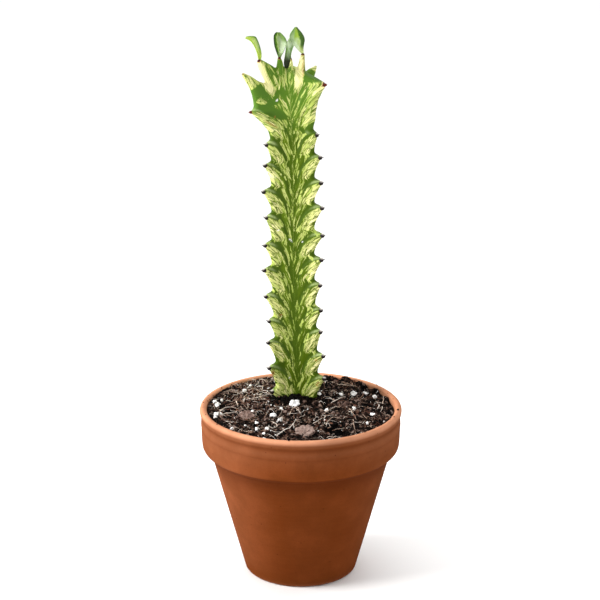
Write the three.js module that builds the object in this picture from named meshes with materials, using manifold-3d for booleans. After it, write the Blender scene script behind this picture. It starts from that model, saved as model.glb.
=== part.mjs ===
// A rooted cutting of a variegated, three-ribbed euphorbia, growing in a terracotta pot.
// The pot, the potting mix, the ribbed stem, its four young leaves, the larger perlite grains and the
// bark chips are separate solids. The stem stands in a plain hole in the mix, the leaves sit on the
// young teeth of the crown, and each grain and chip lies in a socket of its own.
// Millimetres, +Z up. The origin is the centre of the pot's foot, on the surface that it stands on.
// The cutting's open face looks along -Y.

import * as THREE from "three";
import { mergeVertices } from "three/addons/utils/BufferGeometryUtils.js";
import Module from "manifold-3d";

const wasm = await Module();
wasm.setup();

// Driving dimensions

const POT = {
  height: 94.6,
  rimRadius: 55,
  lipRadius: 1.9,
  collarFoot: 70.9,
  collarFootRadius: 54.1,
  neckHeight: 67.1,
  neckRadius: 48.7,
  footRadius: 31.1,
  footCorner: 1.7,
  footRingInner: 21,
  footRecess: 1,
  floorHeight: 7,
  bodyWall: 4.9,
  drainRadius: 6,
  sides: 52,
};

// The mix rises gently round the stem, and sinks in front of it and near the front edge.
const SOIL = {
  edgeHeight: 92.2,
  leanX: -0.022,
  leanY: 0.012,
  lump: 1,
  rings: 9,
  swells: [
    { x: -3, y: 15, height: 2.6, spread: 24 },
    { x: 18, y: -31, height: -2.2, spread: 7 },
    { x: -6, y: 4, height: -1.2, spread: 5 },
  ],
};

// The ribs stand 120 degrees apart, the right-hand one first, then the left-hand one and the back one.
const STEM = {
  centreY: 18,
  ribAngles: [-30, 90, 210],
  toothPitch: 14,
  notchShare: 0.24,
  notchRadius: 13.2,
  toothReach: 4.8,
  grooveRadius: 6,
  edgeHalfWidth: 2.2,
  tipHalfWidth: 1.1,
  faceRelief: 0.5,
  faceSweep: 9,
  soilLine: 95,
  footTaper: 2.2,
  buriedEnd: 62,
  shoulder: 256,
  crest: 276.6,
  apexPit: 2.6,
  rowGap: 2.4,
};

// Height of each tooth's tip on the two front ribs, and how far it stands out from the notch. The back
// rib's teeth sit a third of a pitch above the left-hand ones.
const RIGHT_TEETH = [
  [92.6, 4],
  [106.2, 4.8],
  [119.2, 4.4],
  [132.8, 3],
  [145.3, 3.9],
  [159.4, 4],
  [173.8, 5.2],
  [187.4, 5.8],
  [202.4, 5.4],
  [216, 4.7],
  [229.7, 4.1],
  [241.6, 2.4],
];
const LEFT_TEETH = [
  [98.4, 2.6],
  [112.4, 4.8],
  [127.1, 4.8],
  [139.1, 3.4],
  [153.3, 4.9],
  [168.1, 5.4],
  [181.8, 4.6],
  [197, 3.5],
  [211.3, 5.4],
  [225.4, 4.2],
  [236.4, 2.8],
];
const BACK_TEETH = LEFT_TEETH.map(([height]) => [height + STEM.toothPitch / 3, 4.4]);
const TEETH = [RIGHT_TEETH, BACK_TEETH, LEFT_TEETH];

// Height, and how far each rib opens out there beyond the stem's own outline into its topmost tooth.
const RIGHT_FLARE = [
  [245, 0],
  [249.5, 1.6],
  [254, 2.2],
  [260, 3.9],
  [265, 7.3],
  [268.8, 11.4],
  [269.8, 10.6],
  [271.2, 6],
  [274, 0],
];
const BACK_FLARE = [
  [242, 0],
  [246, 2.4],
  [251, 5.6],
  [255.6, 8.4],
  [258.6, 11.2],
  [259.6, 8.8],
  [262, 5],
  [266, 2],
  [270, 0],
];
const LEFT_FLARE = [
  [240, 0],
  [243.7, 0.8],
  [247.7, 3.8],
  [251.2, 7.1],
  [254.6, 11],
  [255.6, 9],
  [257.4, 8.3],
  [262.4, 9.2],
  [264.6, 3],
  [268, 0],
];
const FLARES = [RIGHT_FLARE, BACK_FLARE, LEFT_FLARE];
const FLARE_TIPS = [268.8, 258.6, 254.6];

const SPINE = { length: 2, root: 1, radius: 0.42, spread: 28, rise: 0.25, apart: 0.3, sides: 4 };
const ROOT = { radius: 2.2, endRadius: 0.7, sides: 6 };

// halfWidths: shares of a leaf's width at even steps from its stalk to its tip.
const LEAF = {
  thickness: 0.8,
  edgeShare: 0.8,
  stations: 9,
  across: 4,
  seatRadius: 1,
  halfWidths: [0.1, 0.24, 0.42, 0.5, 0.44, 0.16],
};
const GRAIN = { roughness: 0.18, flatness: 0.78, rise: 0.12 };
const CHIP = { thickness: 1.6, roughness: 0.2, corners: 11, rise: 0.9 };

// What is cut stays this far clear of what cuts it.
const CLEARANCE = 0.35;

const COLOURS = {
  terracotta: 0xb8683c,
  soil: 0x2c211c,
  stem: 0x7f9a3c,
  leaf: 0x86ad55,
  perlite: 0xeeece6,
  bark: 0x6f5a52,
};

// Small helpers

const radians = THREE.MathUtils.degToRad;
const mix = THREE.MathUtils.lerp;
const fade = (value, low, high) => THREE.MathUtils.smoothstep(value, low, high);
const bump = (value, centre, half) => Math.exp(-(((value - centre) / half) ** 2));

function seededRandom(seed) {
  let state = seed >>> 0;
  return () => {
    state = (state + 0x6d2b79f5) >>> 0;
    let t = Math.imul(state ^ (state >>> 15), state | 1);
    t ^= t + Math.imul(t ^ (t >>> 7), t | 61);
    return ((t ^ (t >>> 14)) >>> 0) / 4294967296;
  };
}

// Smooth noise from -1 to 1 on a square lattice of seeded values.
function latticeNoise(seed) {
  const size = 64;
  const random = seededRandom(seed);
  const values = Array.from({ length: size * size }, () => random() * 2 - 1);
  const at = (i, j) => values[(((i % size) + size) % size) * size + (((j % size) + size) % size)];
  return (x, y) => {
    const i = Math.floor(x);
    const j = Math.floor(y);
    const u = fade(x - i, 0, 1);
    const v = fade(y - j, 0, 1);
    return mix(mix(at(i, j), at(i + 1, j), u), mix(at(i, j + 1), at(i + 1, j + 1), u), v);
  };
}

function solid(geometry) {
  const bare = new THREE.BufferGeometry();
  bare.setAttribute("position", geometry.getAttribute("position"));
  bare.setIndex(geometry.index);
  const merged = mergeVertices(bare, 1e-3);
  return new wasm.Manifold(
    new wasm.Mesh({
      numProp: 3,
      vertProperties: new Float32Array(merged.getAttribute("position").array),
      triVerts: new Uint32Array(merged.index.array),
    }),
  );
}

function geometryOf(shape) {
  const mesh = shape.getMesh();
  const geometry = new THREE.BufferGeometry();
  geometry.setAttribute("position", new THREE.BufferAttribute(mesh.vertProperties, 3));
  geometry.setIndex(new THREE.BufferAttribute(mesh.triVerts, 1));
  return geometry;
}

// The union keeps only its largest body, so a scrap left by a cut goes with the cut.
function largestBody(shape) {
  return shape.decompose().sort((a, b) => b.volume() - a.volume())[0];
}

// Closes a stack of rings, all with the same number of points, by a pole at each end. The second half of
// each ring is split along the other diagonal, so a blade's two faces are split alike.
function closedStack(rings, firstPole, lastPole) {
  const count = rings[0].length;
  const points = [firstPole, ...rings.flat(), lastPole];
  const index = [];
  const vertex = (ring, k) => 1 + ring * count + (k % count);
  for (let k = 0; k < count; k++) {
    index.push(0, vertex(0, k + 1), vertex(0, k));
    for (let ring = 0; ring < rings.length - 1; ring++) {
      const [a, b] = [vertex(ring, k), vertex(ring, k + 1)];
      const [c, d] = [vertex(ring + 1, k), vertex(ring + 1, k + 1)];
      index.push(...(2 * k < count ? [a, b, d, a, d, c] : [a, b, c, b, d, c]));
    }
    index.push(points.length - 1, vertex(rings.length - 1, k), vertex(rings.length - 1, k + 1));
  }
  const geometry = new THREE.BufferGeometry();
  geometry.setFromPoints(points);
  geometry.setIndex(index);
  return geometry;
}

function turned(profile) {
  const points = profile.map(([radius, height]) => new THREE.Vector2(radius, height));
  return new THREE.LatheGeometry(points, POT.sides).rotateX(Math.PI / 2);
}

// Terracotta pot: a tapered body under a deep collar, a rolled lip and one drain hole in the floor

function arc(centreRadius, centreHeight, radius, from, to, steps) {
  return Array.from({ length: steps + 1 }, (_, k) => {
    const angle = radians(mix(from, to, k / steps));
    return [centreRadius + radius * Math.cos(angle), centreHeight + radius * Math.sin(angle)];
  });
}

const lipCentreRadius = POT.rimRadius - POT.lipRadius;
const lipCentreHeight = POT.height - POT.lipRadius;
const bodyTaper = (POT.neckRadius - POT.footRadius) / (POT.neckHeight - POT.footCorner);

const potInside = [
  [lipCentreRadius - POT.lipRadius, lipCentreHeight],
  [POT.neckRadius + 1.4, POT.collarFoot + 4],
  [POT.neckRadius - POT.bodyWall + 0.6, POT.neckHeight - 2],
  [POT.footRadius - POT.bodyWall + bodyTaper * POT.floorHeight + 0.6, POT.floorHeight + 2],
  [POT.footRadius - POT.bodyWall - 1.2, POT.floorHeight],
];

function potSolid() {
  const outside = [
    [POT.footRingInner, 0],
    ...arc(POT.footRadius - POT.footCorner, POT.footCorner, POT.footCorner, -90, 0, 3),
    [POT.neckRadius, POT.neckHeight],
    [POT.collarFootRadius - 1.6, POT.collarFoot - 0.4],
    [POT.collarFootRadius, POT.collarFoot + 1.6],
    [POT.collarFootRadius + 0.35, POT.height - 10.4],
    [POT.collarFootRadius - 0.05, POT.height - 9.2],
    [POT.collarFootRadius + 0.55, POT.height - 8],
    ...arc(lipCentreRadius, lipCentreHeight, POT.lipRadius, 0, 180, 6),
  ];
  const inside = [
    ...potInside.slice(1),
    [POT.drainRadius, POT.floorHeight],
    [POT.drainRadius, POT.footRecess],
    [POT.footRingInner - 1, POT.footRecess],
    [POT.footRingInner, 0],
  ];
  return turned([...outside, ...inside]);
}

// The cutting: rib edges with a tooth at each node, hollow faces between them, and a flared crown

function axisX(height) {
  return -2.2 - 2 * fade(height, 105, 175) - 1.8 * fade(height, 225, 268);
}

// The tooth whose tip is at or below a height, and how far the height is on the way to the next tip.
function nodeBelow(rib, height) {
  const teeth = TEETH[rib];
  const index = teeth.findLastIndex(([tip]) => tip <= height);
  const from = index < 0 ? teeth[0][0] - STEM.toothPitch : teeth[index][0];
  const to = index + 1 < teeth.length ? teeth[index + 1][0] : from + STEM.toothPitch;
  return { index, way: (height - from) / (to - from) };
}

// How far a rib's edge stands out from its notches. The top of a tooth falls back within a quarter of
// the way to the next tip, and the next tooth's underside leaves the notch slowly.
function reachAt(rib, height) {
  const { index, way } = nodeBelow(rib, height);
  const teeth = TEETH[rib];
  if (way < STEM.notchShare) return index < 0 ? 0 : teeth[index][1] * (1 - way / STEM.notchShare);
  if (index + 1 >= teeth.length) return 0;
  return teeth[index + 1][1] * ((way - STEM.notchShare) / (1 - STEM.notchShare)) ** 1.2;
}

function crownFlare(rib, height) {
  const marks = FLARES[rib];
  const next = marks.findIndex(([mark]) => mark > height);
  if (next < 1) return 0;
  const [[fromHeight, from], [toHeight, to]] = [marks[next - 1], marks[next]];
  return mix(from, to, (height - fromHeight) / (toHeight - fromHeight));
}

function ribEdgeRadius(rib, height) {
  const buried = fade(height, STEM.buriedEnd - 4, STEM.buriedEnd + 14);
  const sunk = 1 - fade(height, STEM.soilLine - 11, STEM.soilLine + 5);
  const foot = STEM.notchRadius - STEM.footTaper * sunk;
  const dome = Math.max(height - STEM.shoulder, 0) / (STEM.crest + 1.4 - STEM.shoulder);
  const body = foot * buried * Math.sqrt(1 - dome ** 2);
  const shown = fade(height, STEM.soilLine - 1.5, STEM.soilLine + 2);
  return body + reachAt(rib, height) * shown + crownFlare(rib, height);
}

// The rib's edge thins towards each tooth's tip, and is fleshier in the crown.
function ribEdgeHalfWidth(rib, height) {
  const thin = Math.min(reachAt(rib, height) / STEM.toothReach, 1);
  const flare = crownFlare(rib, height);
  const half = mix(STEM.edgeHalfWidth, STEM.tipHalfWidth, Math.max(thin, fade(flare, 7, 12)));
  return Math.min(half + fade(flare, 0, 6) - 0.7 * fade(flare, 7, 12), ribEdgeRadius(rib, height) * 0.2);
}

// Half of a rib's outline at one height, from its edge to the middle of the groove beside it, in the
// rib's own plane: first along the rib's direction, then across it. grow pushes it outwards.
function halfOutline(edge, edgeHalfWidth, groove, grow) {
  const half = edgeHalfWidth + grow;
  const [cos60, sin60] = [0.5, Math.sqrt(3) / 2];
  const corner = new THREE.Vector2(edge + grow - half * 0.9, half);
  const valley = new THREE.Vector2(groove * cos60, groove * sin60).multiplyScalar(1 + grow / groove);
  const pull = 0.42 * corner.distanceTo(valley);
  const handle = valley.clone().add(new THREE.Vector2(sin60, -cos60).multiplyScalar(pull));
  const flank = new THREE.QuadraticBezierCurve(corner, handle, valley);
  return [new THREE.Vector2(edge + grow, 0), ...[0, 0.35, 0.7, 1].map((t) => flank.getPoint(t))];
}

// One closed ring of the cutting, counter-clockwise from above. Low swellings run inwards and down from
// each tooth over the two faces beside it.
function stemRing(height, { grow = 0, shrink = 1, drop = 0 } = {}) {
  const buried = fade(height, STEM.buriedEnd - 4, STEM.buriedEnd + 14);
  const ring = [];
  STEM.ribAngles.forEach((ribAngle, rib) => {
    const edge = ribEdgeRadius(rib, height);
    const groove = Math.min(STEM.grooveRadius * buried + 1.4 * fade(height, 246, 262), 0.72 * edge);
    const half = halfOutline(edge, ribEdgeHalfWidth(rib, height), groove, grow);
    const valley = half.length - 1;
    for (let k = 1 - valley; k <= valley; k++) {
      const share = Math.abs(k) / valley;
      const { index, way } = nodeBelow(rib, height + STEM.faceSweep * share ** 1.5);
      const relief = STEM.faceRelief * Math.sin(Math.PI * share) * Math.cos(2 * Math.PI * (index + way));
      const across = new THREE.Vector2(half[Math.abs(k)].x, Math.sign(k) * half[Math.abs(k)].y);
      across.multiplyScalar(shrink * (1 + relief / across.length()));
      across.rotateAround(new THREE.Vector2(), radians(ribAngle));
      ring.push(new THREE.Vector3(axisX(height) + across.x, STEM.centreY + across.y, height - drop));
    }
  });
  return ring;
}

// A row of points at every tip and notch, and between them where they are far apart.
function stemHeights(from, to) {
  const marks = [from, to];
  TEETH.flat().forEach(([tip]) => marks.push(tip, tip + STEM.notchShare * STEM.toothPitch));
  FLARES.flat().forEach(([mark]) => marks.push(mark));
  marks.sort((a, b) => a - b);
  const heights = [from];
  for (const mark of marks) {
    const gap = mark - heights.at(-1);
    if (mark > to || gap < 0.6) continue;
    const steps = Math.ceil(gap / STEM.rowGap);
    for (let k = 1; k <= steps; k++) heights.push(mark - gap * (1 - k / steps));
  }
  return heights;
}

const BURIED_HEIGHTS = [62.6, 64.5, 67.5, 71.5, 76, 81, 86];

function stemBody() {
  const heights = [...BURIED_HEIGHTS, ...stemHeights(90, STEM.crest)];
  const rings = heights.map((height) => stemRing(height));
  rings.push(stemRing(STEM.crest, { shrink: 0.55, drop: STEM.apexPit / 2 }));
  const foot = new THREE.Vector3(axisX(0), STEM.centreY, STEM.buriedEnd);
  const pit = new THREE.Vector3(axisX(STEM.crest), STEM.centreY, STEM.crest - STEM.apexPit);
  return solid(closedStack(rings, foot, pit));
}

// Young teeth of the crown. Each one stands in the upright plane that turns about the stem's axis by
// its angle. Its stations run from inside the stem to the tip, and each gives the lower outer edge, then
// the upper inner edge, as distance from the axis and height, and half the thickness.
const CROWN = {
  left_outer: {
    turn: 210,
    stations: [
      [14, 252, 3, 259, 2.6],
      [21, 258, 11.4, 263.8, 3],
      [22.4, 263, 16.2, 267.3, 2.8],
      [23.8, 267, 18.8, 270.5, 2.4],
      [26, 270.6, 22.8, 273.4, 1.7],
      [28.4, 274.4, 27.6, 275.8, 0.7],
    ],
  },
  left_inner: {
    turn: 210,
    stations: [
      [9, 256, 1, 262, 4.4],
      [12.6, 266, 7.4, 270.6, 3.2],
      [16.6, 273.4, 11, 276.2, 2.3],
      [19, 278.6, 14.8, 279.4, 1.6],
      [19.4, 281, 17.4, 281.8, 0.9],
    ],
  },
  right_inner: {
    turn: -24,
    stations: [
      [10, 258, 1, 262, 3.6],
      [11.4, 268, 3.6, 268, 2.9],
      [9.4, 273.6, 4.2, 273.2, 2.2],
      [9, 279.4, 5.4, 279, 1.6],
      [8.8, 284, 6.8, 284.2, 0.9],
    ],
  },
  right_back: {
    turn: 44,
    stations: [
      [10, 252, 2, 260, 4.6],
      [14.4, 261, 6, 268.4, 3.8],
      [16.6, 266.6, 10.6, 271.6, 2.8],
      [18.6, 270.6, 14.4, 273.6, 1.9],
      [20.4, 274.6, 19.6, 275.2, 0.5],
    ],
  },
  back_outer: {
    turn: 112,
    stations: [
      [9, 254, 2, 261, 4],
      [14, 262.4, 8, 267, 3],
      [16.6, 267, 12.4, 269.6, 2],
      [19.2, 270.6, 18.2, 271.4, 0.6],
    ],
  },
  apex_left: {
    turn: 225,
    stations: [
      [6, 268, 2, 268, 2.6],
      [8.6, 275, 4.6, 276, 2.2],
      [8.6, 279.4, 5.4, 279.8, 1.6],
      [8.2, 282.4, 6.8, 282.6, 0.7],
    ],
  },
  apex_right: {
    turn: -78,
    stations: [
      [5.6, 268, 1.6, 268, 2.6],
      [6.4, 274.4, 3, 275.4, 2],
      [6, 278.6, 3.6, 279, 1.3],
      [5.6, 281.4, 4.6, 281.6, 0.6],
    ],
  },
};

function crownPoint(turn, radius, height) {
  const angle = radians(turn);
  const x = axisX(height) + radius * Math.cos(angle);
  return new THREE.Vector3(x, STEM.centreY + radius * Math.sin(angle), height);
}

function crownTip({ turn, stations }) {
  const [outerRadius, outerHeight, innerRadius, innerHeight] = stations.at(-1);
  return crownPoint(turn, (outerRadius + innerRadius) / 2, (outerHeight + innerHeight) / 2);
}

function crownTooth(tooth) {
  const sides = 8;
  const side = new THREE.Vector3(-Math.sin(radians(tooth.turn)), Math.cos(radians(tooth.turn)), 0);
  const rings = tooth.stations.map(([outerRadius, outerHeight, innerRadius, innerHeight, half]) => {
    const outer = crownPoint(tooth.turn, outerRadius, outerHeight);
    const inner = crownPoint(tooth.turn, innerRadius, innerHeight);
    const middle = outer.clone().lerp(inner, 0.5);
    return Array.from({ length: sides }, (_, k) => {
      const angle = (2 * Math.PI * k) / sides;
      const point = middle.clone().lerp(outer, Math.cos(angle));
      return point.addScaledVector(side, half * Math.sin(angle));
    });
  });
  const foot = rings[0].reduce((sum, point) => sum.addScaledVector(point, 1 / sides), new THREE.Vector3());
  return solid(closedStack(rings, foot, crownTip(tooth)));
}

// Roots: tapered, six-sided, from the buried end down into the mix

const ROOTS = [
  [new THREE.Vector3(-2, 18, 70), new THREE.Vector3(12, 24, 50)],
  [new THREE.Vector3(-3, 18, 70), new THREE.Vector3(-17, 25, 51)],
  [new THREE.Vector3(-2, 17, 70), new THREE.Vector3(4, 3, 49)],
  [new THREE.Vector3(-3, 17, 68), new THREE.Vector3(-12, 5, 46)],
  [new THREE.Vector3(-2, 19, 68), new THREE.Vector3(0, 31, 48)],
];

function rootSolid([from, to], grow) {
  const length = from.distanceTo(to) + grow;
  const cone = new THREE.CylinderGeometry(ROOT.endRadius + grow, ROOT.radius + grow, length, ROOT.sides);
  cone.translate(0, length / 2, 0);
  const along = to.clone().sub(from).normalize();
  cone.applyQuaternion(new THREE.Quaternion().setFromUnitVectors(new THREE.Vector3(0, 1, 0), along));
  cone.translate(from.x, from.y, from.z);
  return solid(cone);
}

// A pair of thorns at one tooth's tip, spread like a V and rooted in the tooth.
function spinePair(tip, outward) {
  const across = new THREE.Vector3(-outward.y, outward.x, 0).normalize();
  return [-1, 1].map((side) => {
    const direction = outward.clone().setZ(SPINE.rise).normalize();
    direction.applyAxisAngle(new THREE.Vector3(0, 0, 1), side * radians(SPINE.spread));
    const start = tip.clone().addScaledVector(direction, -SPINE.root);
    start.addScaledVector(across, side * SPINE.apart);
    const cone = new THREE.ConeGeometry(SPINE.radius, SPINE.length + SPINE.root, SPINE.sides);
    cone.translate(0, (SPINE.length + SPINE.root) / 2, 0);
    cone.applyQuaternion(
      new THREE.Quaternion().setFromUnitVectors(new THREE.Vector3(0, 1, 0), direction),
    );
    cone.translate(start.x, start.y, start.z);
    return solid(cone);
  });
}

function stemSpines() {
  const spines = [];
  STEM.ribAngles.forEach((ribAngle, rib) => {
    const outward = new THREE.Vector3(Math.cos(radians(ribAngle)), Math.sin(radians(ribAngle)), 0);
    const tips = [...TEETH[rib].map(([tip]) => tip), FLARE_TIPS[rib]];
    for (const height of tips.filter((tip) => tip > STEM.soilLine + 3)) {
      spines.push(...spinePair(crownPoint(ribAngle, ribEdgeRadius(rib, height), height), outward));
    }
  });
  return spines;
}

function stemSolid() {
  const pieces = [stemBody(), ...Object.values(CROWN).map(crownTooth), ...stemSpines()];
  pieces.push(...ROOTS.map((root) => rootSolid(root, 0)));
  return largestBody(wasm.Manifold.union(pieces));
}

// The hole that the buried stem and its roots stand in, a clearance wider than they are.
function stemHole() {
  const heights = [...BURIED_HEIGHTS, ...stemHeights(90, STEM.soilLine + 11)];
  const rings = heights.map((height) => stemRing(height, { grow: CLEARANCE }));
  const foot = new THREE.Vector3(axisX(0), STEM.centreY, STEM.buriedEnd - CLEARANCE);
  const top = new THREE.Vector3(axisX(0), STEM.centreY, STEM.soilLine + 12);
  const body = solid(closedStack(rings, foot, top));
  return wasm.Manifold.union([body, ...ROOTS.map((root) => rootSolid(root, CLEARANCE + 0.1))]);
}

// Leaves: thin, arched, spoon-shaped blades that narrow into a short stalk on a young tooth

const LEAVES = {
  leaf_left: {
    tooth: "left_inner",
    line: [
      [-21, 8.8, 281.6],
      [-22.2, 8.6, 286.4],
      [-23.2, 8.2, 290.4],
      [-25.4, 8, 293],
      [-29, 7.8, 292.8],
    ],
    facing: [-0.62, -0.75, -0.2],
    width: 6,
    cup: 1.1,
  },
  leaf_middle_left: {
    tooth: "apex_left",
    line: [
      [-10.9, 12.7, 282.4],
      [-10.2, 12, 285.6],
      [-10, 11.6, 289],
      [-10.6, 12, 292.4],
      [-11.6, 13, 295.2],
    ],
    facing: [0.25, -1, 0.1],
    width: 7.4,
    cup: 1.6,
  },
  leaf_centre: {
    tooth: "apex_right",
    line: [
      [-5.2, 13, 281.2],
      [-5.6, 13, 283.6],
      [-6.2, 13.4, 285.8],
      [-6.6, 14, 287.8],
      [-6.8, 15, 289.4],
    ],
    facing: [-0.7, -0.7, 0],
    width: 4.4,
    cup: 0.8,
  },
  leaf_right: {
    tooth: "right_inner",
    line: [
      [0.6, 14.6, 284.2],
      [-0.6, 13.6, 287.6],
      [-1.6, 13, 291.2],
      [-2, 13, 294.6],
      [-2.2, 13.6, 297.6],
    ],
    facing: [-0.2, -1, 0.1],
    width: 7.8,
    cup: 2.2,
  },
};

const leafOutline = new THREE.SplineCurve(LEAF.halfWidths.map((half, k) => new THREE.Vector2(k, half)));

function leafSolid({ line, facing, width, cup }) {
  const curve = new THREE.CatmullRomCurve3(line.map((p) => new THREE.Vector3(...p)));
  const toward = new THREE.Vector3(...facing).normalize();
  const half = LEAF.thickness / 2;
  const rings = Array.from({ length: LEAF.stations }, (_, k) => {
    const share = k / (LEAF.stations - 1);
    const along = curve.getTangent(share);
    const side = along.clone().cross(toward).normalize();
    const face = side.clone().cross(along).normalize();
    const wide = width * leafOutline.getPoint(share).y;
    const top = [];
    const under = [];
    for (let m = 0; m <= LEAF.across; m++) {
      const across = (2 * m) / LEAF.across - 1;
      const lift = cup * ((2 * wide * across) / width) ** 2;
      const point = curve.getPoint(share).addScaledVector(side, wide * across);
      point.addScaledVector(face, lift);
      const edge = Math.abs(across) === 1 ? LEAF.edgeShare : 1;
      top.push(point.clone().addScaledVector(face, half * edge));
      under.push(point.clone().addScaledVector(face, -half * edge));
    }
    return [...top, ...under.reverse()];
  });
  const [first, last] = [curve.getPoint(0), curve.getPoint(1)];
  const shape = solid(closedStack(rings, first, last));
  return shape.volume() > 0 ? shape : solid(closedStack(rings.map((r) => r.reverse()), first, last));
}

// Each leaf is cut a clearance away from the tooth that carries it.
function seatedLeaf(leaf) {
  const gap = new THREE.IcosahedronGeometry(LEAF.seatRadius + CLEARANCE, 1);
  gap.translate(...crownTip(CROWN[leaf.tooth]));
  return largestBody(leafSolid(leaf).subtract(solid(gap)));
}

// Perlite grains, bark chips and the mix that they lie in

const soilNoise = latticeNoise(7);

function soilHeight(x, y) {
  let swell = 0;
  for (const { x: midX, y: midY, height, spread } of SOIL.swells) {
    swell += height * bump(Math.hypot(x - midX, y - midY), 0, spread);
  }
  const coarse = SOIL.lump * soilNoise(x / 7.5 + 9, y / 7.5 + 4);
  const fine = 0.5 * SOIL.lump * soilNoise(x / 3.6 + 31, y / 3.6 + 17);
  const calm = 1 - 0.6 * fade(Math.hypot(x, y), 46, 51);
  return SOIL.edgeHeight + SOIL.leanX * x + SOIL.leanY * y + (swell + coarse + fine) * calm;
}

// x, y and the largest diameter of each of the bigger grains.
const GRAINS = [
  [-3.4, -0.6, 6.6],
  [-15, -12.9, 4.6],
  [-11.2, -19.7, 3.2],
  [-10.6, -4.6, 2.7],
  [-31.5, 22.1, 3.3],
  [10.2, 17, 3.4],
  [22.3, 18.7, 2.9],
  [29.4, 20.4, 4.2],
  [36.2, 24, 3.6],
  [41, 17.6, 3.2],
  [29.1, -2.2, 3],
  [39, -7.1, 4],
  [14.1, -5.5, 2.8],
  [-45.2, 2, 4.2],
];

// x, y, length, width, turn and tilt towards the front, in degrees, of each bark chip.
const CHIPS = [
  [-28.6, -14.2, 10, 8.4, 12, 22],
  [1.9, -36, 11.6, 10, -6, 30],
  [23.4, 5.6, 8.6, 8.6, 34, 26],
];

function grainSolid([x, y, diameter], index, grow) {
  const random = seededRandom(100 + index);
  const geometry = mergeVertices(
    new THREE.IcosahedronGeometry(1, 1).deleteAttribute("normal").deleteAttribute("uv"),
    1e-3,
  );
  const squash = 0.74 + 0.16 * random();
  const places = geometry.getAttribute("position");
  for (let k = 0; k < places.count; k++) {
    const point = new THREE.Vector3().fromBufferAttribute(places, k);
    point.multiplyScalar(1 - GRAIN.roughness * random());
    point.multiply(new THREE.Vector3(1, squash, GRAIN.flatness));
    point.multiplyScalar(diameter / 2 + grow);
    places.setXYZ(k, point.x, point.y, point.z);
  }
  geometry.rotateZ(random() * 6);
  geometry.translate(x, y, soilHeight(x, y) + diameter * GRAIN.rise);
  return solid(geometry);
}

function chipSolid([x, y, length, width, turn, tilt], index, grow) {
  const random = seededRandom(200 + index);
  const outline = Array.from({ length: CHIP.corners }, (_, k) => {
    const angle = (2 * Math.PI * k) / CHIP.corners;
    const rough = 1 - CHIP.roughness * random();
    const corner = new THREE.Vector2(length * Math.cos(angle), width * Math.sin(angle));
    corner.multiplyScalar(rough / 2);
    return corner.setLength(corner.length() + grow);
  });
  const depth = CHIP.thickness + 2 * grow;
  const geometry = new THREE.ExtrudeGeometry(new THREE.Shape(outline), { depth, bevelEnabled: false });
  geometry.translate(0, 0, -depth / 2);
  geometry.rotateX(radians(tilt));
  geometry.rotateZ(radians(turn));
  geometry.translate(x, y, soilHeight(x, y) + CHIP.rise);
  return solid(geometry);
}

// Walls follow the pot's inside, a clearance away, and the top carries the lumps of the mix.
function soilSolid(hollows) {
  const ringAt = (radius, height) =>
    Array.from({ length: POT.sides }, (_, k) => {
      const angle = (2 * Math.PI * k) / POT.sides;
      const [x, y] = [radius * Math.cos(angle), radius * Math.sin(angle)];
      return new THREE.Vector3(x, y, height ?? soilHeight(x, y));
    });
  const wall = potInside
    .slice(1)
    .reverse()
    .map(([radius, height], k) => ringAt(radius - CLEARANCE, height + (k === 0 ? CLEARANCE : 0)));
  const [low, high] = [potInside[1], potInside[0]];
  const slope = (high[0] - low[0]) / (high[1] - low[1]);
  const brim = low[0] + slope * (SOIL.edgeHeight - 1 - low[1]) - CLEARANCE;
  const top = Array.from({ length: SOIL.rings }, (_, k) => ringAt(brim * (1 - k / SOIL.rings)));
  const floor = new THREE.Vector3(0, 0, wall[0][0].z);
  const centre = new THREE.Vector3(0, 0, soilHeight(0, 0));
  const whole = solid(closedStack([...wall, ...top], floor, centre));
  return largestBody(whole.subtract(wasm.Manifold.union([stemHole(), ...hollows])));
}

// Assembly

const part = new THREE.Group();
part.name = "potted_euphorbia";

function add(name, geometry, colour, roughness) {
  const material = new THREE.MeshStandardMaterial({ color: colour, roughness, metalness: 0 });
  const mesh = new THREE.Mesh(geometry, material);
  mesh.name = name;
  part.add(mesh);
}

const hollows = [
  ...GRAINS.map((grain, k) => grainSolid(grain, k, CLEARANCE + 0.1)),
  ...CHIPS.map((chip, k) => chipSolid(chip, k, CLEARANCE)),
];

add("pot", potSolid(), COLOURS.terracotta, 0.85);
add("soil", geometryOf(soilSolid(hollows)), COLOURS.soil, 0.95);
add("stem", geometryOf(stemSolid()), COLOURS.stem, 0.45);

for (const [name, leaf] of Object.entries(LEAVES)) {
  add(name, geometryOf(seatedLeaf(leaf)), COLOURS.leaf, 0.5);
}
GRAINS.forEach((grain, k) => {
  const name = `perlite_${String(k + 1).padStart(2, "0")}`;
  add(name, geometryOf(grainSolid(grain, k, 0)), COLOURS.perlite, 0.9);
});
CHIPS.forEach((chip, k) => {
  add(`bark_chip_${k + 1}`, geometryOf(chipSolid(chip, k, 0)), COLOURS.bark, 0.9);
});

export default part;
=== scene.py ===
import math
import random
from contextlib import contextmanager
from functools import partial

import bpy
import numpy as np
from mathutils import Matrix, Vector
from mathutils.bvhtree import BVHTree
from mathutils.kdtree import KDTree


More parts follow.
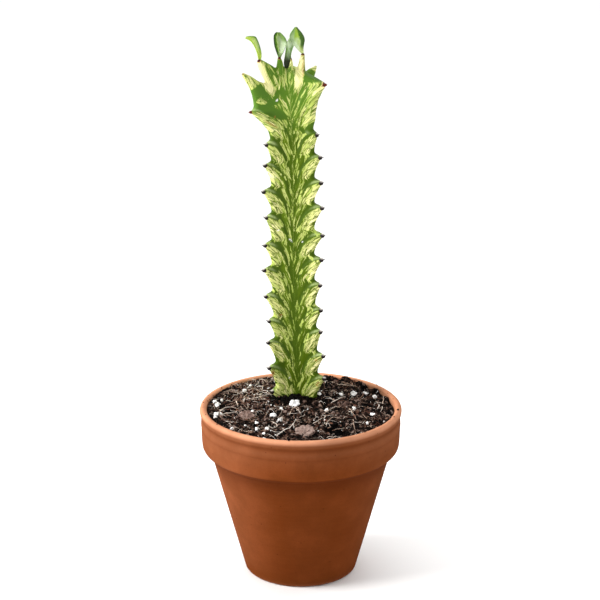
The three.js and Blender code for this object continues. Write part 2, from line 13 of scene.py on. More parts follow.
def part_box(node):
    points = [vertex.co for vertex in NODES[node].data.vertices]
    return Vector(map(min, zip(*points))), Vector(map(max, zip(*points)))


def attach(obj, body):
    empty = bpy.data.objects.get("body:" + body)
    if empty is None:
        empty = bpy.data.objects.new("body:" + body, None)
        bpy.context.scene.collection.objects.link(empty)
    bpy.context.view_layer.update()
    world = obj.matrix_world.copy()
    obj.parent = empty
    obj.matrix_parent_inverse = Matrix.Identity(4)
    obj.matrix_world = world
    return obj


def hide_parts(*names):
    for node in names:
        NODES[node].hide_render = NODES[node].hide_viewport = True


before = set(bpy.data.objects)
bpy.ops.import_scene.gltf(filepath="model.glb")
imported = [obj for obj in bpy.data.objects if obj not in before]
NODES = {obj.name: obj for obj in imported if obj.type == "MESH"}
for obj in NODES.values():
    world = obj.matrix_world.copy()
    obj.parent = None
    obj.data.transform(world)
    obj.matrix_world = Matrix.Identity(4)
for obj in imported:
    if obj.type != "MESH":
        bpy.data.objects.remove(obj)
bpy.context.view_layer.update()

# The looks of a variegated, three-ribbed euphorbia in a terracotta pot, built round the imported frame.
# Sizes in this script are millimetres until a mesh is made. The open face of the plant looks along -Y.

MM = 0.001

# Camera

CAMERA = {"distance": 900, "lens": 100.98, "looks_down": 16.96, "aim_x": -0.41, "aim_z": 154.25}
SENSOR_WIDTH = 36
NEAREST_SHOWN = 50


def set_camera():
    down = math.radians(CAMERA["looks_down"])
    place = Vector((CAMERA["aim_x"], 0, CAMERA["aim_z"]))
    place += CAMERA["distance"] * Vector((0, -math.cos(down), math.sin(down)))
    bpy.ops.object.camera_add(location=place * MM, rotation=(math.pi / 2 - down, 0, 0))
    camera = bpy.context.object
    camera.name = "camera"
    camera.data.lens = CAMERA["lens"]
    camera.data.sensor_width = SENSOR_WIDTH
    camera.data.clip_start = NEAREST_SHOWN * MM
    bpy.context.scene.camera = camera


# Helpers for meshes

WELD = 0.01


def only(obj):
    """Leaves this object alone selected and active."""
    bpy.ops.object.select_all(action="DESELECT")
    obj.select_set(True)
    bpy.context.view_layer.objects.active = obj


@contextmanager
def editing(obj):
    """Edit mode on one object, with its whole mesh selected."""
    only(obj)
    bpy.ops.object.mode_set(mode="EDIT")
    bpy.ops.mesh.select_all(action="SELECT")
    yield
    bpy.ops.object.mode_set(mode="OBJECT")


def new_shape(operator, name, **settings):
    """Adds a basic shape with one of the mesh operators."""
    bpy.ops.object.select_all(action="DESELECT")
    operator(**settings)
    bpy.context.object.name = name
    return bpy.context.object


def weld_selected():
    bpy.ops.mesh.remove_doubles(threshold=WELD * MM)
    bpy.ops.mesh.normals_make_consistent(inside=False)


def apply_modifier(obj, kind, **settings):
    """Adds one modifier and applies it."""
    only(obj)
    modifier = obj.modifiers.new(kind.lower(), kind)
    for name, value in settings.items():
        setattr(modifier, name, value)
    bpy.ops.object.modifier_apply(modifier=modifier.name)


def point_rows(obj, key="co"):
    """The object's points as its mesh holds them, or another vector of each, one row each."""
    flat = np.empty(len(obj.data.vertices) * 3)
    obj.data.vertices.foreach_get(key, flat)
    return flat.reshape(-1, 3)


def places(obj):
    """The object's points in millimetres."""
    return point_rows(obj) / MM


def move_points(obj, points):
    obj.data.vertices.foreach_set("co", (points * MM).ravel())
    obj.data.update()


def give_attribute(obj, name, values):
    """Stores one number or one vector for each point of a mesh."""
    values = np.asarray(values, dtype=float)
    kind, key = ("FLOAT", "value") if values.ndim == 1 else ("FLOAT_VECTOR", "vector")
    layer = obj.data.attributes.new(name, kind, "POINT")
    layer.data.foreach_set(key, values.ravel())


def node_box(name):
    """The low and the high corner of a CAD node's box in millimetres."""
    return [np.array(corner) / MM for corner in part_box(name)]


def merged_copy(node, name):
    """A copy of a CAD node's mesh with its loose triangles joined up."""
    obj = NODES[node].copy()
    obj.data = NODES[node].data.copy()
    obj.name = name
    obj.parent = None
    for key in [key for key in obj.keys() if key.startswith("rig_")]:
        del obj[key]
    bpy.context.scene.collection.objects.link(obj)
    obj.data.materials.clear()
    with editing(obj):
        weld_selected()
    return obj


def mesh_of(name, shells):
    """One mesh of many closed shells, each given as its points and its faces."""
    faces = []
    start = 0
    for points, shell_faces in shells:
        faces += [tuple(index + start for index in face) for face in shell_faces]
        start += len(points)
    mesh = bpy.data.meshes.new(name)
    mesh.from_pydata((np.vstack([points for points, _ in shells]) * MM).tolist(), [], faces)
    obj = bpy.data.objects.new(name, mesh)
    bpy.context.scene.collection.objects.link(obj)
    return obj


def taken_apart(obj):
    """The raw points and the faces of a shape, which is then removed."""
    points = point_rows(obj)
    faces = [tuple(face.vertices) for face in obj.data.polygons]
    bpy.data.objects.remove(obj)
    return points, faces


def finish_piece(obj, material, slot, *replaced, sharp_degrees=None):
    """Gives a piece its material, its shading and its place on the body."""
    only(obj)
    obj.data.materials.clear()
    obj.data.materials.append(material)
    if sharp_degrees is None:
        bpy.ops.object.shade_smooth()
    else:
        bpy.ops.object.shade_smooth_by_angle(angle=math.radians(sharp_degrees))
    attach(obj, "root")
    if replaced:
        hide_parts(*replaced)


def fade(value, low, high):
    """Rises smoothly from 0 at low to 1 at high."""
    share = np.clip((np.asarray(value, dtype=float) - low) / (high - low), 0, 1)
    return share * share * (3 - 2 * share)


def band(value, middle, width):
    """1 in the middle of a soft band, 0 away from it."""
    return np.exp(-(((value - middle) / width) ** 2))


def smooth_line(points, steps):
    """Evenly stepped points on a curve through hand-placed ones."""
    points = np.asarray(points, dtype=float)
    padded = np.vstack([2 * points[0] - points[1], points, 2 * points[-1] - points[-2]])
    spots = np.linspace(0, len(points) - 1, steps)
    spans = np.minimum(spots.astype(int), len(points) - 2)
    t = (spots - spans)[:, None]
    a, b, c, d = (padded[spans + k] for k in range(4))
    return 0.5 * (2 * b + (c - a) * t + (2 * a - 5 * b + 4 * c - d) * t**2 + (3 * b - a - 3 * c + d) * t**3)


def stack_faces(rows, count):
    """Faces of a stack of closed rings, counter-clockwise from above, with a pole at its foot and top."""
    foot = rows * count
    last = foot - count
    caps, walls = [], []
    for k in range(count):
        after = (k + 1) % count
        caps += [(foot, after, k), (foot + 1, last + k, last + after)]
    for low in range(0, last, count):
        for k in range(count):
            after = (k + 1) % count
            walls.append((low + k, low + after, low + count + after, low + count + k))
    return caps + walls


# Helpers for materials

# A mix of two colours has its factor in socket 0, its colours in 6 and 7 and its result in 2. One of two
# numbers has them in 0, 2, 3 and 0.
COLOURS = {"data_type": "RGBA", "out": 2}
NUMBERS = {"data_type": "FLOAT"}


def linear(code):
    """An sRGB hex colour as the linear colour that a shader reads."""
    channels = [int(code[k : k + 2], 16) / 255 for k in (0, 2, 4)]
    return tuple(c / 12.92 if c <= 0.04045 else ((c + 0.055) / 1.055) ** 2.4 for c in channels) + (1,)


def fill_sockets(node, sockets):
    """Gives each socket a link, a hex colour or a plain value."""
    for key, value in sockets.items():
        if isinstance(value, bpy.types.NodeSocket):
            node.id_data.links.new(value, node.inputs[key])
        else:
            node.inputs[key].default_value = linear(value) if isinstance(value, str) else value


def add_node(tree, kind, sockets=None, stops=(), out=0, **settings):
    """Adds one node with its properties, its sockets and the stops of its ramp, and returns one output."""
    made = tree.nodes.new("ShaderNode" + kind)
    for name, value in settings.items():
        setattr(made, name, value)
    fill_sockets(made, sockets or {})
    if stops:
        elements = made.color_ramp.elements
        while len(elements) < len(stops):
            elements.new(0.5)
        for element, (position, code) in zip(elements, stops):
            element.position = position
            element.color = linear(code)
    return made.outputs[out]


def new_material(name):
    """A material, with add_node for its own tree."""
    material = bpy.data.materials.new(name)
    material.use_nodes = True
    return material, partial(add_node, material.node_tree)


def shaded(material, **sockets):
    """Fills in the material's shader, whose sockets are named with underscores for spaces."""
    shader = material.node_tree.nodes["Principled BSDF"]
    fill_sockets(shader, {key.replace("_", " "): value for key, value in sockets.items()})
    return material


def per_mm(size):
    """The texture scale at which one cell of a pattern is this many millimetres long."""
    return 1 / (size * MM)


def shade_ramp(add, mottle, mottle_share, stops):
    """The colours of scattered bits, from the shade that each one carries and a mottle over all of them."""
    shade = add("Attribute", out="Fac", attribute_name="shade")
    mixed = add("Mix", {0: mottle_share, 2: shade, 3: mottle}, **NUMBERS)
    return add("ValToRGB", {"Fac": mixed}, stops)


# Terracotta pot, raised from its foot ring in one line round to the drain hole and back

CLAY = {
    "deep": "602d0f",
    "body": "633012",
    "warm": "6e3617",
    "grit": "4e260d",
    "bloom_and_highlight": "cf9270",
    "painted_clay_shade": "431b08",
    "fleck": "351708",
}


def clay_material():
    """Terracotta: red earthenware, jiggered and fired unglazed. Dry, matt and finely gritty to the eye, with
    faint turning lines, small dark grog grains, and a chalky bloom where its edges have dried. The bloom
    also carries a painted highlight on the lip and a pale painted sheen on the wall's sides, and painted
    shade darkens the wall under the collar and in the grooves."""
    material, add = new_material("terracotta_fired_unglazed")
    place = add("TexCoord", out="Object")
    bloom_and_highlight = add("Attribute", out="Fac", attribute_name="bloom_and_highlight")
    painted_clay_shade = add("Attribute", out="Fac", attribute_name="painted_clay_shade")
    turned = add("Mapping", {"Vector": place, "Scale": (0.05, 0.05, 1)})
    lines = add("TexNoise", {"Vector": turned, "Scale": per_mm(1.8), "Detail": 3, "Roughness": 0.6})
    cloud = add("TexNoise", {"Vector": place, "Scale": per_mm(20), "Detail": 4, "Roughness": 0.6})
    grit = add("TexNoise", {"Vector": place, "Scale": per_mm(0.8), "Detail": 3, "Roughness": 0.75})
    grog = add("TexVoronoi", {"Vector": place, "Scale": per_mm(5)})
    body = add("ValToRGB", {"Fac": cloud}, [(0.32, CLAY["deep"]), (0.5, CLAY["body"]), (0.7, CLAY["warm"])])
    line_share = add("MapRange", {"Value": lines, "From Min": 0.4, "From Max": 0.75, "To Max": 0.28})
    ringed = add("Mix", {0: line_share, 6: body, 7: CLAY["warm"]}, **COLOURS)
    grit_share = add("MapRange", {"Value": grit, "From Min": 0.5, "From Max": 0.75, "To Max": 0.4})
    gritty = add("Mix", {0: grit_share, 6: ringed, 7: CLAY["grit"]}, **COLOURS)
    # The chalky bloom and the painted highlight are thick on the lip and thin out down the collar, broken up
    # by the cloud.
    patchiness = {"Value": cloud, "From Min": 0.3, "From Max": 0.7, "To Min": 0.75, "To Max": 1.15}
    bloom_and_highlight_share = add("Math", {0: bloom_and_highlight, 1: add("MapRange", patchiness)}, operation="MULTIPLY")
    clay_with_bloom_and_highlight = add("Mix", {0: bloom_and_highlight_share, 6: gritty, 7: CLAY["bloom_and_highlight"]}, **COLOURS)
    # Painted shade: the clay darkens low on the wall, most of all just under the collar's foot, and in the
    # grooves.
    clay_with_painted_shade = add("Mix", {0: painted_clay_shade, 6: clay_with_bloom_and_highlight, 7: CLAY["painted_clay_shade"]}, **COLOURS)
    fleck = add("MapRange", {"Value": grog, "From Min": 0.075, "From Max": 0.045, "To Max": 0.7})
    flecked = add("Mix", {0: fleck, 6: clay_with_painted_shade, 7: CLAY["fleck"]}, **COLOURS)
    height = add("Math", {0: grit, 1: lines}, operation="ADD")
    relief = add("Bump", {"Height": height, "Strength": 0.4, "Distance": 0.14 * MM})
    return shaded(material, Base_Color=flecked, Normal=relief, Roughness=0.9, IOR=1.06)


RIM_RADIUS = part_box("pot")[1][0] / MM
POT_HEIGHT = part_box("pot")[1][2] / MM
POT_SIDES = 200
NECK = {"radius": 48.7, "height": 67.1}
FOOT_RADIUS = 31.1
FOOT_TOP = 1.7
LIP_RADIUS = 1.9
WALL_HEIGHTS = (6, 20, 35, 50, 61, 65.4)
# Distance from the axis and height, from the middle of the underside up to the lip, then down the inside.
FOOT_LINE = [(21.4, 0), (29.3, 0), (30.4, 0.35), (30.95, 1.1), (FOOT_RADIUS + 0.06, 2.2)]
COLLAR_LINE = [(48.9, 67.4), (49.5, 68.9), (51, 70), (52.5, 70.8), (53.5, 71.9), (53.95, 73.3)]
COLLAR_LINE += [(54.12, 76.5), (54.24, 80), (54.3, 83.2), (54.34, 83.9), (54.46, 84.4), (54.48, 84.9)]
COLLAR_LINE += [(54.42, 85.8), (54.34, 87.2), (54.28, 88.1), (54.2, 88.7), (54.24, 89.3), (54.44, 90)]
COLLAR_LINE += [(54.68, 90.8)]
INSIDE_LINE = [(51.1, 90), (50.6, 83), (50.1, 75.5), (48.6, 71), (45.6, 66.8), (44.2, 63), (36, 34)]
INSIDE_LINE += [(29.6, 11), (28.2, 8.4), (25.4, 7.2), (20, 7), (7.2, 7), (6.2, 6.5), (6, 5.5), (6, 2)]
INSIDE_LINE += [(6.5, 1.2), (8, 1), (19.8, 1)]
# Chalky bloom and painted highlight on the collar and the lip: the heights that they grow between and their
# share.
BLOOM_AND_HIGHLIGHT_STEPS = [(74, 84, 0.03), (89.8, 91, 0.05), (91.4, 94, 0.76)]
# Painted shade in the grooves: height, half width and share.
PAINTED_SHADE_RINGS = [(89.2, 0.9, 0.3), (83.4, 0.6, 0.16)]


def pot_line():
    """Distance from the axis and height along the wall: outside, over the lip, down the inside."""
    taper = (NECK["radius"] - FOOT_RADIUS) / (NECK["height"] - FOOT_TOP)
    wall = [(FOOT_RADIUS + taper * (z - FOOT_TOP), z) for z in WALL_HEIGHTS]
    roll = [(RIM_RADIUS - 0.12, 91.5), (RIM_RADIUS, 92.2)]
    for degrees in range(0, 181, 20):
        angle = math.radians(degrees)
        out, up = LIP_RADIUS * math.cos(angle), LIP_RADIUS * math.sin(angle)
        roll.append((RIM_RADIUS - LIP_RADIUS + out, POT_HEIGHT - LIP_RADIUS + up))
    return FOOT_LINE + wall + COLLAR_LINE + roll + INSIDE_LINE


def make_pot():
    line = pot_line()
    radius, height = line[0]
    pot = new_shape(
        bpy.ops.mesh.primitive_circle_add,
        "pot_terracotta",
        vertices=POT_SIDES,
        radius=radius * MM,
        fill_type="NOTHING",
        location=(0, 0, height * MM),
    )
    bpy.ops.object.transform_apply(location=True, rotation=True, scale=True)
    with editing(pot):
        for next_radius, next_height in line[1:] + line[:1]:
            rise = (0, 0, (next_height - height) * MM)
            bpy.ops.mesh.extrude_region_move(TRANSFORM_OT_translate={"value": rise})
            ratio = next_radius / radius
            bpy.ops.transform.resize(value=(ratio, ratio, 1), center_override=(0, 0, next_height * MM))
            radius, height = next_radius, next_height
        bpy.ops.mesh.select_all(action="SELECT")
        weld_selected()
    apply_modifier(pot, "SUBSURF", levels=1, render_levels=1)
    x, y, height = places(pot).T
    radius = np.hypot(x, y)
    bloom_and_highlight = sum(share * fade(height, low, high) for low, high, share in BLOOM_AND_HIGHLIGHT_STEPS)
    bloom_and_highlight += 0.04 * band(height, 86.4, 1.6) + 0.15 * band(height, 0.6, 1.2) * (radius > 29)
    # Painted light: the lip is paler at the back and less pale at its sides, and the wall's sides carry a
    # pale painted sheen, more on the left than on the right.
    bloom_and_highlight += 0.3 * fade(y, 0, 40) * fade(height, 91, 93)
    bloom_and_highlight -= 0.16 * fade(abs(x), 15, 50) * fade(height, 91.4, 94)
    bloom_and_highlight += (0.08 * fade(-x, 8, 50) + 0.06 * fade(x, 20, 52)) * fade(height, 2, 8)
    inside = (radius < RIM_RADIUS - 2 * LIP_RADIUS) * fade(height, 80, 90)
    bloom_and_highlight += inside * (0.4 + 0.5 * fade(y, 10, 40))
    give_attribute(pot, "bloom_and_highlight", np.clip(bloom_and_highlight, 0, 1))
    # Painted shade: darker low on the wall and most of all just under the collar, and darker in the grooves.
    painted_clay_shade = 0.15 * (1 - fade(height, 60, 74)) + 0.55 * band(height, 69, 7) * (height < 71.4)
    painted_clay_shade += sum(share * band(height, middle, width) for middle, width, share in PAINTED_SHADE_RINGS)
    give_attribute(pot, "painted_clay_shade", np.clip(painted_clay_shade, 0, 1))
    finish_piece(pot, clay_material(), "terracotta", "pot")


# The skin of the stem

# The ribs stand 120 degrees apart, the right-hand one first, then the back one and the left-hand one.
RIB_ANGLES = [-30, 90, 210]
STEM_X = -2.2
STEM_Y = 18
TOOTH_PITCH = 14
NOTCH_SHARE = 0.26
TOOTH_TOP_SHARE = 0.16
BLUNTNESS = 0.9
NOTCH_RADIUS = 13.2
GROOVE_RADIUS = 6
EDGE_HALF_WIDTH = 2.2
TIP_HALF_WIDTH = 1.1
TOOTH_REACH = 4.8
STEM_FOOT = 62
SHOULDER = 256
CREST = 276.6
CREST_MARGIN = 1.4

# Height of each tooth's tip, and how far it stands out from the notch.
RIGHT_TEETH = [(92.6, 4), (106.2, 4.8), (119.2, 4.4), (132.8, 3), (145.3, 3.9), (159.4, 4), (173.8, 5.2)]
RIGHT_TEETH += [(187.4, 5.8), (202.4, 5.4), (216, 4.7), (229.7, 4.1), (241.6, 2.4)]
LEFT_TEETH = [(98.4, 2.6), (112.4, 4.8), (127.1, 4.8), (139.1, 3.4), (153.3, 4.9), (168.1, 5.4)]
LEFT_TEETH += [(181.8, 4.6), (197, 3.5), (211.3, 5.4), (225.4, 4.2), (236.4, 2.8)]
BACK_TEETH = [(height + TOOTH_PITCH / 3, 4.4) for height, _ in LEFT_TEETH]
TEETH = [RIGHT_TEETH, BACK_TEETH, LEFT_TEETH]

# Height, and how far each rib opens out there into its topmost tooth.
RIGHT_FLARE = [(245, 0), (249.5, 1.6), (254, 2.2), (260, 3.9), (265, 7.3), (268.8, 11.4), (269.8, 10.6)]
RIGHT_FLARE += [(271.4, 7.8), (273, 5), (275, 1.5), (276.6, 0)]
BACK_FLARE = [(242, 0), (246, 2.4), (251, 5.6), (255.6, 8.4), (258.6, 11.2), (259.6, 8.8), (262, 5)]
BACK_FLARE += [(266, 2), (270, 0)]
LEFT_FLARE = [(240, 0), (243.7, 0.8), (247.7, 3.8), (251.2, 7.1), (254.6, 11), (255.6, 9), (257.4, 8.3)]
LEFT_FLARE += [(262.4, 9.2), (264.6, 3), (268, 0)]
FLARES = [RIGHT_FLARE, BACK_FLARE, LEFT_FLARE]
FLARE_TIPS = [268.8, 258.6, 254.6]


def axis_x(height):
    return STEM_X - 2 * fade(height, 105, 175) - 1.8 * fade(height, 225, 268)


def tooth_count(rib, height):
    """How many teeth lie below a height, with the part of the way to the next tip."""
    tips = [tip for tip, _ in TEETH[rib]]
    tips = [tips[0] - TOOTH_PITCH, *tips, FLARE_TIPS[rib], FLARE_TIPS[rib] + TOOTH_PITCH]
    return np.interp(height, tips, range(len(tips)))


def tooth_swell(count):
    """A tooth's outline, 0 at a notch and 1 at a tip: a rounded top, a short notch, a hollow underside."""
    way = count - np.floor(count)
    top = 1 - np.clip(way / TOOTH_TOP_SHARE, 0, 1) ** 2.2
    underside = np.clip((way - NOTCH_SHARE) / (1 - NOTCH_SHARE), 0, 1) ** 1.45
    return np.where(way < NOTCH_SHARE, top, underside)


def tooth_reach(rib, height):
    """How far the rib's edge stands out from its notches."""
    tips = [tip for tip, _ in TEETH[rib]]
    marks = [tips[0] - TOOTH_PITCH, *tips, tips[-1] + TOOTH_PITCH]
    count = np.interp(height, marks, range(len(marks)))
    reaches = np.array([0, *[reach for _, reach in TEETH[rib]], 0, 0])
    below = np.minimum(count.astype(int), len(reaches) - 2)
    reach = np.where(count - below < NOTCH_SHARE, reaches[below], reaches[below + 1])
    return reach * np.minimum(tooth_swell(count), BLUNTNESS)


def crown_flare(rib, height):
    marks, reaches = zip(*FLARES[rib])
    return np.interp(height, marks, reaches)


def rib_edge(rib, height):
    """Distance from the stem's axis to the rib's edge."""
    buried = fade(height, STEM_FOOT - 4, STEM_FOOT + 14)
    foot = NOTCH_RADIUS - 2.2 * (1 - fade(height, 84, 100))
    dome = np.clip((height - SHOULDER) / (CREST + CREST_MARGIN - SHOULDER), 0, 1)
    body = foot * buried * np.sqrt(1 - dome**2)
    return body + tooth_reach(rib, height) * fade(height, 93.5, 97) + crown_flare(rib, height)


def rib_half_width(rib, height):
    thin = np.minimum(tooth_reach(rib, height) / TOOTH_REACH, 1)
    flare = crown_flare(rib, height)
    tip = np.maximum(thin, fade(flare, 7, 12))
    half = EDGE_HALF_WIDTH + (TIP_HALF_WIDTH - EDGE_HALF_WIDTH) * tip
    return np.minimum(half + fade(flare, 0, 6) - 0.7 * fade(flare, 7, 12), rib_edge(rib, height) * 0.2)


def grain_drop(rib, height, across):
    """How far the lines of the skin fall on their way from a rib's edge to the groove: level at first, then
    steeper and steeper, and steepest in the right-hand side of the crown."""
    steeper = 1 + 0.5 * fade(height, 244, 262) * (rib == 0)
    return steeper * (4 * across + 21 * across**2)


LOBE_RADIUS = 11
LOBE_END = 0.66
LOBE_TOP = 0.05
GROOVE_FALL = 36


def lobe_drop(across):
    """How far the cream lobes fall on the same way: a quarter circle, then steeply down the groove."""
    turned = np.clip(across / LOBE_END, 0, 0.97)
    return LOBE_RADIUS * (1 - np.sqrt(1 - turned**2)) + GROOVE_FALL * np.clip(across - 0.97 * LOBE_END, 0, 1)


CAP_STEPS = 4
FLANK_STEPS = 22
GRAIN_OF_RIB = 40


def half_outline(rib, height):
    """Half of a rib's outline at each height, from its edge to the middle of the groove beside it. Returns
    the places along and across the rib, and the distance walked from the edge."""
    edge = rib_edge(rib, height)
    half = rib_half_width(rib, height)
    buried = fade(height, STEM_FOOT - 4, STEM_FOOT + 14)
    groove = np.minimum(GROOVE_RADIUS * buried + 1.4 * fade(height, 246, 262), 0.72 * edge)
    turns_round = np.linspace(0, math.pi / 2, CAP_STEPS + 1)[:-1]
    cap_along = (edge - 0.9 * half)[:, None] + 0.9 * half[:, None] * np.cos(turns_round)
    cap_across = half[:, None] * np.sin(turns_round)
    corner = np.stack([edge - 0.9 * half, half], axis=1)
    valley = np.stack([groove * 0.5, groove * math.sin(math.radians(60))], axis=1)
    pull = 0.42 * np.linalg.norm(corner - valley, axis=1)
    handle = valley + pull[:, None] * np.array([math.sin(math.radians(60)), -0.5])
    t = np.linspace(0, 1, FLANK_STEPS + 1)[None, :, None]
    flank = (1 - t) ** 2 * corner[:, None] + 2 * t * (1 - t) * handle[:, None] + t**2 * valley[:, None]
    along = np.hstack([cap_along, flank[:, :, 0]])
    across = np.hstack([cap_across, flank[:, :, 1]])
    steps = np.hypot(np.diff(along, axis=1), np.diff(across, axis=1))
    walked = np.hstack([np.zeros((len(height), 1)), np.cumsum(steps, axis=1)])
    return along, across, walked


def tooth_place(count):
    """Each point's tooth, and its place below the tip as a share of the way to the next tooth."""
    index = np.clip(np.floor(count - LOBE_TOP).astype(int), 0, 19)
    return index, count - LOBE_TOP - index


def cream_share(rib, count, across, height):
    """How creamy the skin is: a round lobe that hangs from each tooth's tip and ends level with the notch,
    loose dashes between it and the groove, and a groove that is plainer on the older, lower stem."""
    index, way = tooth_place(count)
    lucks = [[random.Random(1000 * rib + 10 * k + m).random() for m in range(3)] for k in range(20)]
    luck = np.array(lucks)[index]
    end = LOBE_END - 0.04 + 0.1 * luck[..., 0]
    low = 0.06 + 0.08 * luck[..., 1] + 0.3 * (1 - fade(across, 0.02, 0.28))
    low += 0.9 * lobe_drop(np.minimum(across, LOBE_END)) / TOOTH_PITCH
    lobe = fade(way, low - 0.04, low + 0.06) * (1 - fade(way, 0.965, 1.0))
    lobe *= 1 - fade(across, end - 0.12, end + 0.12)
    lobe *= 1.25 - (0.2 + 0.35 * luck[..., 2]) * fade(across, 0.2, 0.6)
    young = fade(height, 150, 200)
    dashes = (0.4 + 0.08 * young) * fade(across, 0.3, 0.54) * (0.6 + 0.4 * fade(way, 0.05, 0.35))
    dashes *= 1 - (0.75 - 0.5 * young) * fade(across, 0.86, 0.96)
    flecks = np.broadcast_to((0.1 + 0.06 * young) * fade(height, 96, 102), way.shape)
    tooth_top = 0.33 * fade(way, 0.08, 0.14) * (1 - fade(across, 0.4, 0.55))
    return np.maximum.reduce([lobe, dashes, flecks, tooth_top])


def dark_share(count, across):
    """Where the green is darkest: a band that falls inwards from each notch, and the groove."""
    way = count - LOBE_TOP - np.floor(count - LOBE_TOP)
    falling = fade(way, 0.96, 1.0) + (1 - fade(way, 0.25, 0.5))
    flank = 0.3 + 0.7 * falling * (1 - 0.4 * fade(across, 0.7, 1.0))
    return np.maximum(flank, 0.85 * fade(across, 0.74, 0.92))


def painted_highlight_share(rib, count, across):
    """Painted highlight: a thin pale line on top of some of the teeth."""
    index, way = tooth_place(count)
    luck = np.array([random.Random(77 * rib + 5 * k).random() for k in range(20)])[index]
    return band(way, 0.035 + 0.1 * across, 0.02) * (0.45 + 0.55 * luck) * (1 - fade(across, 0.25, 0.5))


def stem_shell():
    """The closed skin of the ribbed stem, with the run of its grain and its colour shares."""
    heights = np.concatenate([[62.6, 64.5, 67.5, 71.5, 76, 81], np.arange(84, CREST, 0.55), [CREST]])
    shown = fade(heights, 93, 98)[:, None]
    columns = []
    for rib, rib_angle in enumerate(RIB_ANGLES):
        along, across, walked = half_outline(rib, heights)
        share = walked / walked[:, -1:]
        drop = grain_drop(rib, heights[:, None], share)
        level = heights[:, None] + drop
        steps = np.hypot(np.diff(walked, axis=1), np.diff(drop, axis=1)) * (1 + 1.5 * share[:, 1:])
        grain_run = np.hstack([np.zeros((len(heights), 1)), np.cumsum(steps, axis=1)])
        count = tooth_count(rib, heights[:, None] + lobe_drop(share))
        relief = 1.5 * shown * np.sin(math.pi * share) * (tooth_swell(count) - 0.4)
        swell = 1 + relief / np.hypot(along, across)
        cream = cream_share(rib, count, share, heights[:, None])
        dark = dark_share(count, share)
        painted_highlight = painted_highlight_share(rib, count, share) * shown
        angle = math.radians(rib_angle)
        last = along.shape[1] - 1
        for k in range(1 - last, last + 1):
            side = -1 if k < 0 else 1
            k = abs(k)
            u = along[:, k] * swell[:, k]
            v = side * across[:, k] * swell[:, k]
            x = axis_x(heights) + u * math.cos(angle) - v * math.sin(angle)
            y = STEM_Y + u * math.sin(angle) + v * math.cos(angle)
            seat = np.full(len(heights), rib * GRAIN_OF_RIB)
            grain = (side * grain_run[:, k], level[:, k], seat)
            columns.append(np.stack([x, y, heights, *grain, cream[:, k], dark[:, k], painted_highlight[:, k]], axis=1))
    table = np.stack(columns, axis=1)
    rows, count_round = table.shape[:2]
    foot = table[0].mean(axis=0)
    pit = table[-1].mean(axis=0)
    pit[2] = CREST - 2.6
    table = np.vstack([table.reshape(-1, table.shape[2]), foot, pit])
    return table, stack_faces(rows, count_round)


# Young teeth of the crown. Each one stands in the upright plane that turns about the stem's axis by its
# angle. Its stations run from inside the stem to the tip, and each gives the lower outer edge, then the
# upper inner edge, as distance from the axis and height, and half the thickness. Its cream shares are
# those of its outer side, its left and right sides seen from outside, and its inner side. Some have a tip
# of another cream share, from so far along.
LEFT_OUTER = [(14, 252, 3, 262, 2.6), (21, 258, 9.6, 267.4, 3), (22.4, 263, 14.6, 269, 2.8)]
LEFT_OUTER += [(23.8, 267, 18.8, 270.7, 2.4), (26, 270.6, 22.8, 273.4, 1.7), (28.4, 274.4, 27.6, 275.8, 0.7)]
LEFT_INNER = [(9, 256, 1, 262, 4.4), (12.6, 266, 5.4, 272.4, 3.2), (16.6, 273.4, 9, 277, 2.3)]
LEFT_INNER += [(19, 278.6, 13.8, 280, 1.6), (19.4, 281, 17.4, 282, 0.9)]
RIGHT_INNER = [(10, 258, 1, 262, 3.6), (11.4, 268, 3.6, 268, 2.9), (9.4, 273.6, 4.2, 273.2, 2.2)]
RIGHT_INNER += [(9, 279.4, 5.4, 279, 1.6), (8.8, 284, 6.8, 284.2, 0.9)]
RIGHT_BACK = [(10, 252, 2, 260, 4.6), (14.4, 261, 6, 268.4, 3.8), (16.6, 266.6, 10.6, 271.6, 2.8)]
RIGHT_BACK += [(18.6, 270.6, 14.4, 273.6, 1.9), (20.4, 274.6, 19.6, 275.2, 0.5)]
BACK_OUTER = [(9, 254, 2, 261, 4), (14, 262.4, 8, 267, 3), (16.6, 267, 12.4, 269.6, 2)]
BACK_OUTER += [(19.2, 270.6, 18.2, 271.4, 0.6)]
APEX_LEFT = [(6, 268, 2, 268, 2.6), (8.6, 275, 4.6, 276, 2.2), (8.6, 279.4, 5.4, 279.8, 1.6)]
APEX_LEFT += [(8.2, 282.4, 6.8, 282.6, 0.7)]
APEX_RIGHT = [(5.6, 268, 1.6, 268, 2.3), (6.2, 274.4, 3.2, 275.4, 1.6), (5.8, 278.6, 3.8, 279, 1.0)]
APEX_RIGHT += [(5.6, 281.8, 4.7, 282, 0.5)]
CROWN = [
    {"turn": 210, "stations": LEFT_OUTER, "cream": (0.5, 0.6, 0.6, 0.9), "tip": (0.62, 1.15)},
    {"turn": 210, "stations": LEFT_INNER, "cream": (0.95, 0.9, 0.95, 0.15)},
    {"turn": -24, "stations": RIGHT_INNER, "cream": (0.9, 0.9, 0.9, 0.6)},
    {"turn": 44, "stations": RIGHT_BACK, "cream": (0.1, 0.1, 0.1, 0.1), "tip": (0.84, 1.4)},
    {"turn": 112, "stations": BACK_OUTER, "cream": (0.5, 0.35, 0.35, 0.2)},
    {"turn": 225, "stations": APEX_LEFT, "cream": (0.4, 0.35, 0.5, 0.1)},
    {"turn": -78, "stations": APEX_RIGHT, "cream": (0.85, 0.7, 0.8, 0.3), "tip": (0.45, 1.2)},
]
CROWN_SIDES = 28
CROWN_STEPS = 40
# A tip that would start beyond the end of a tooth.
NO_TIP = (2, 0)


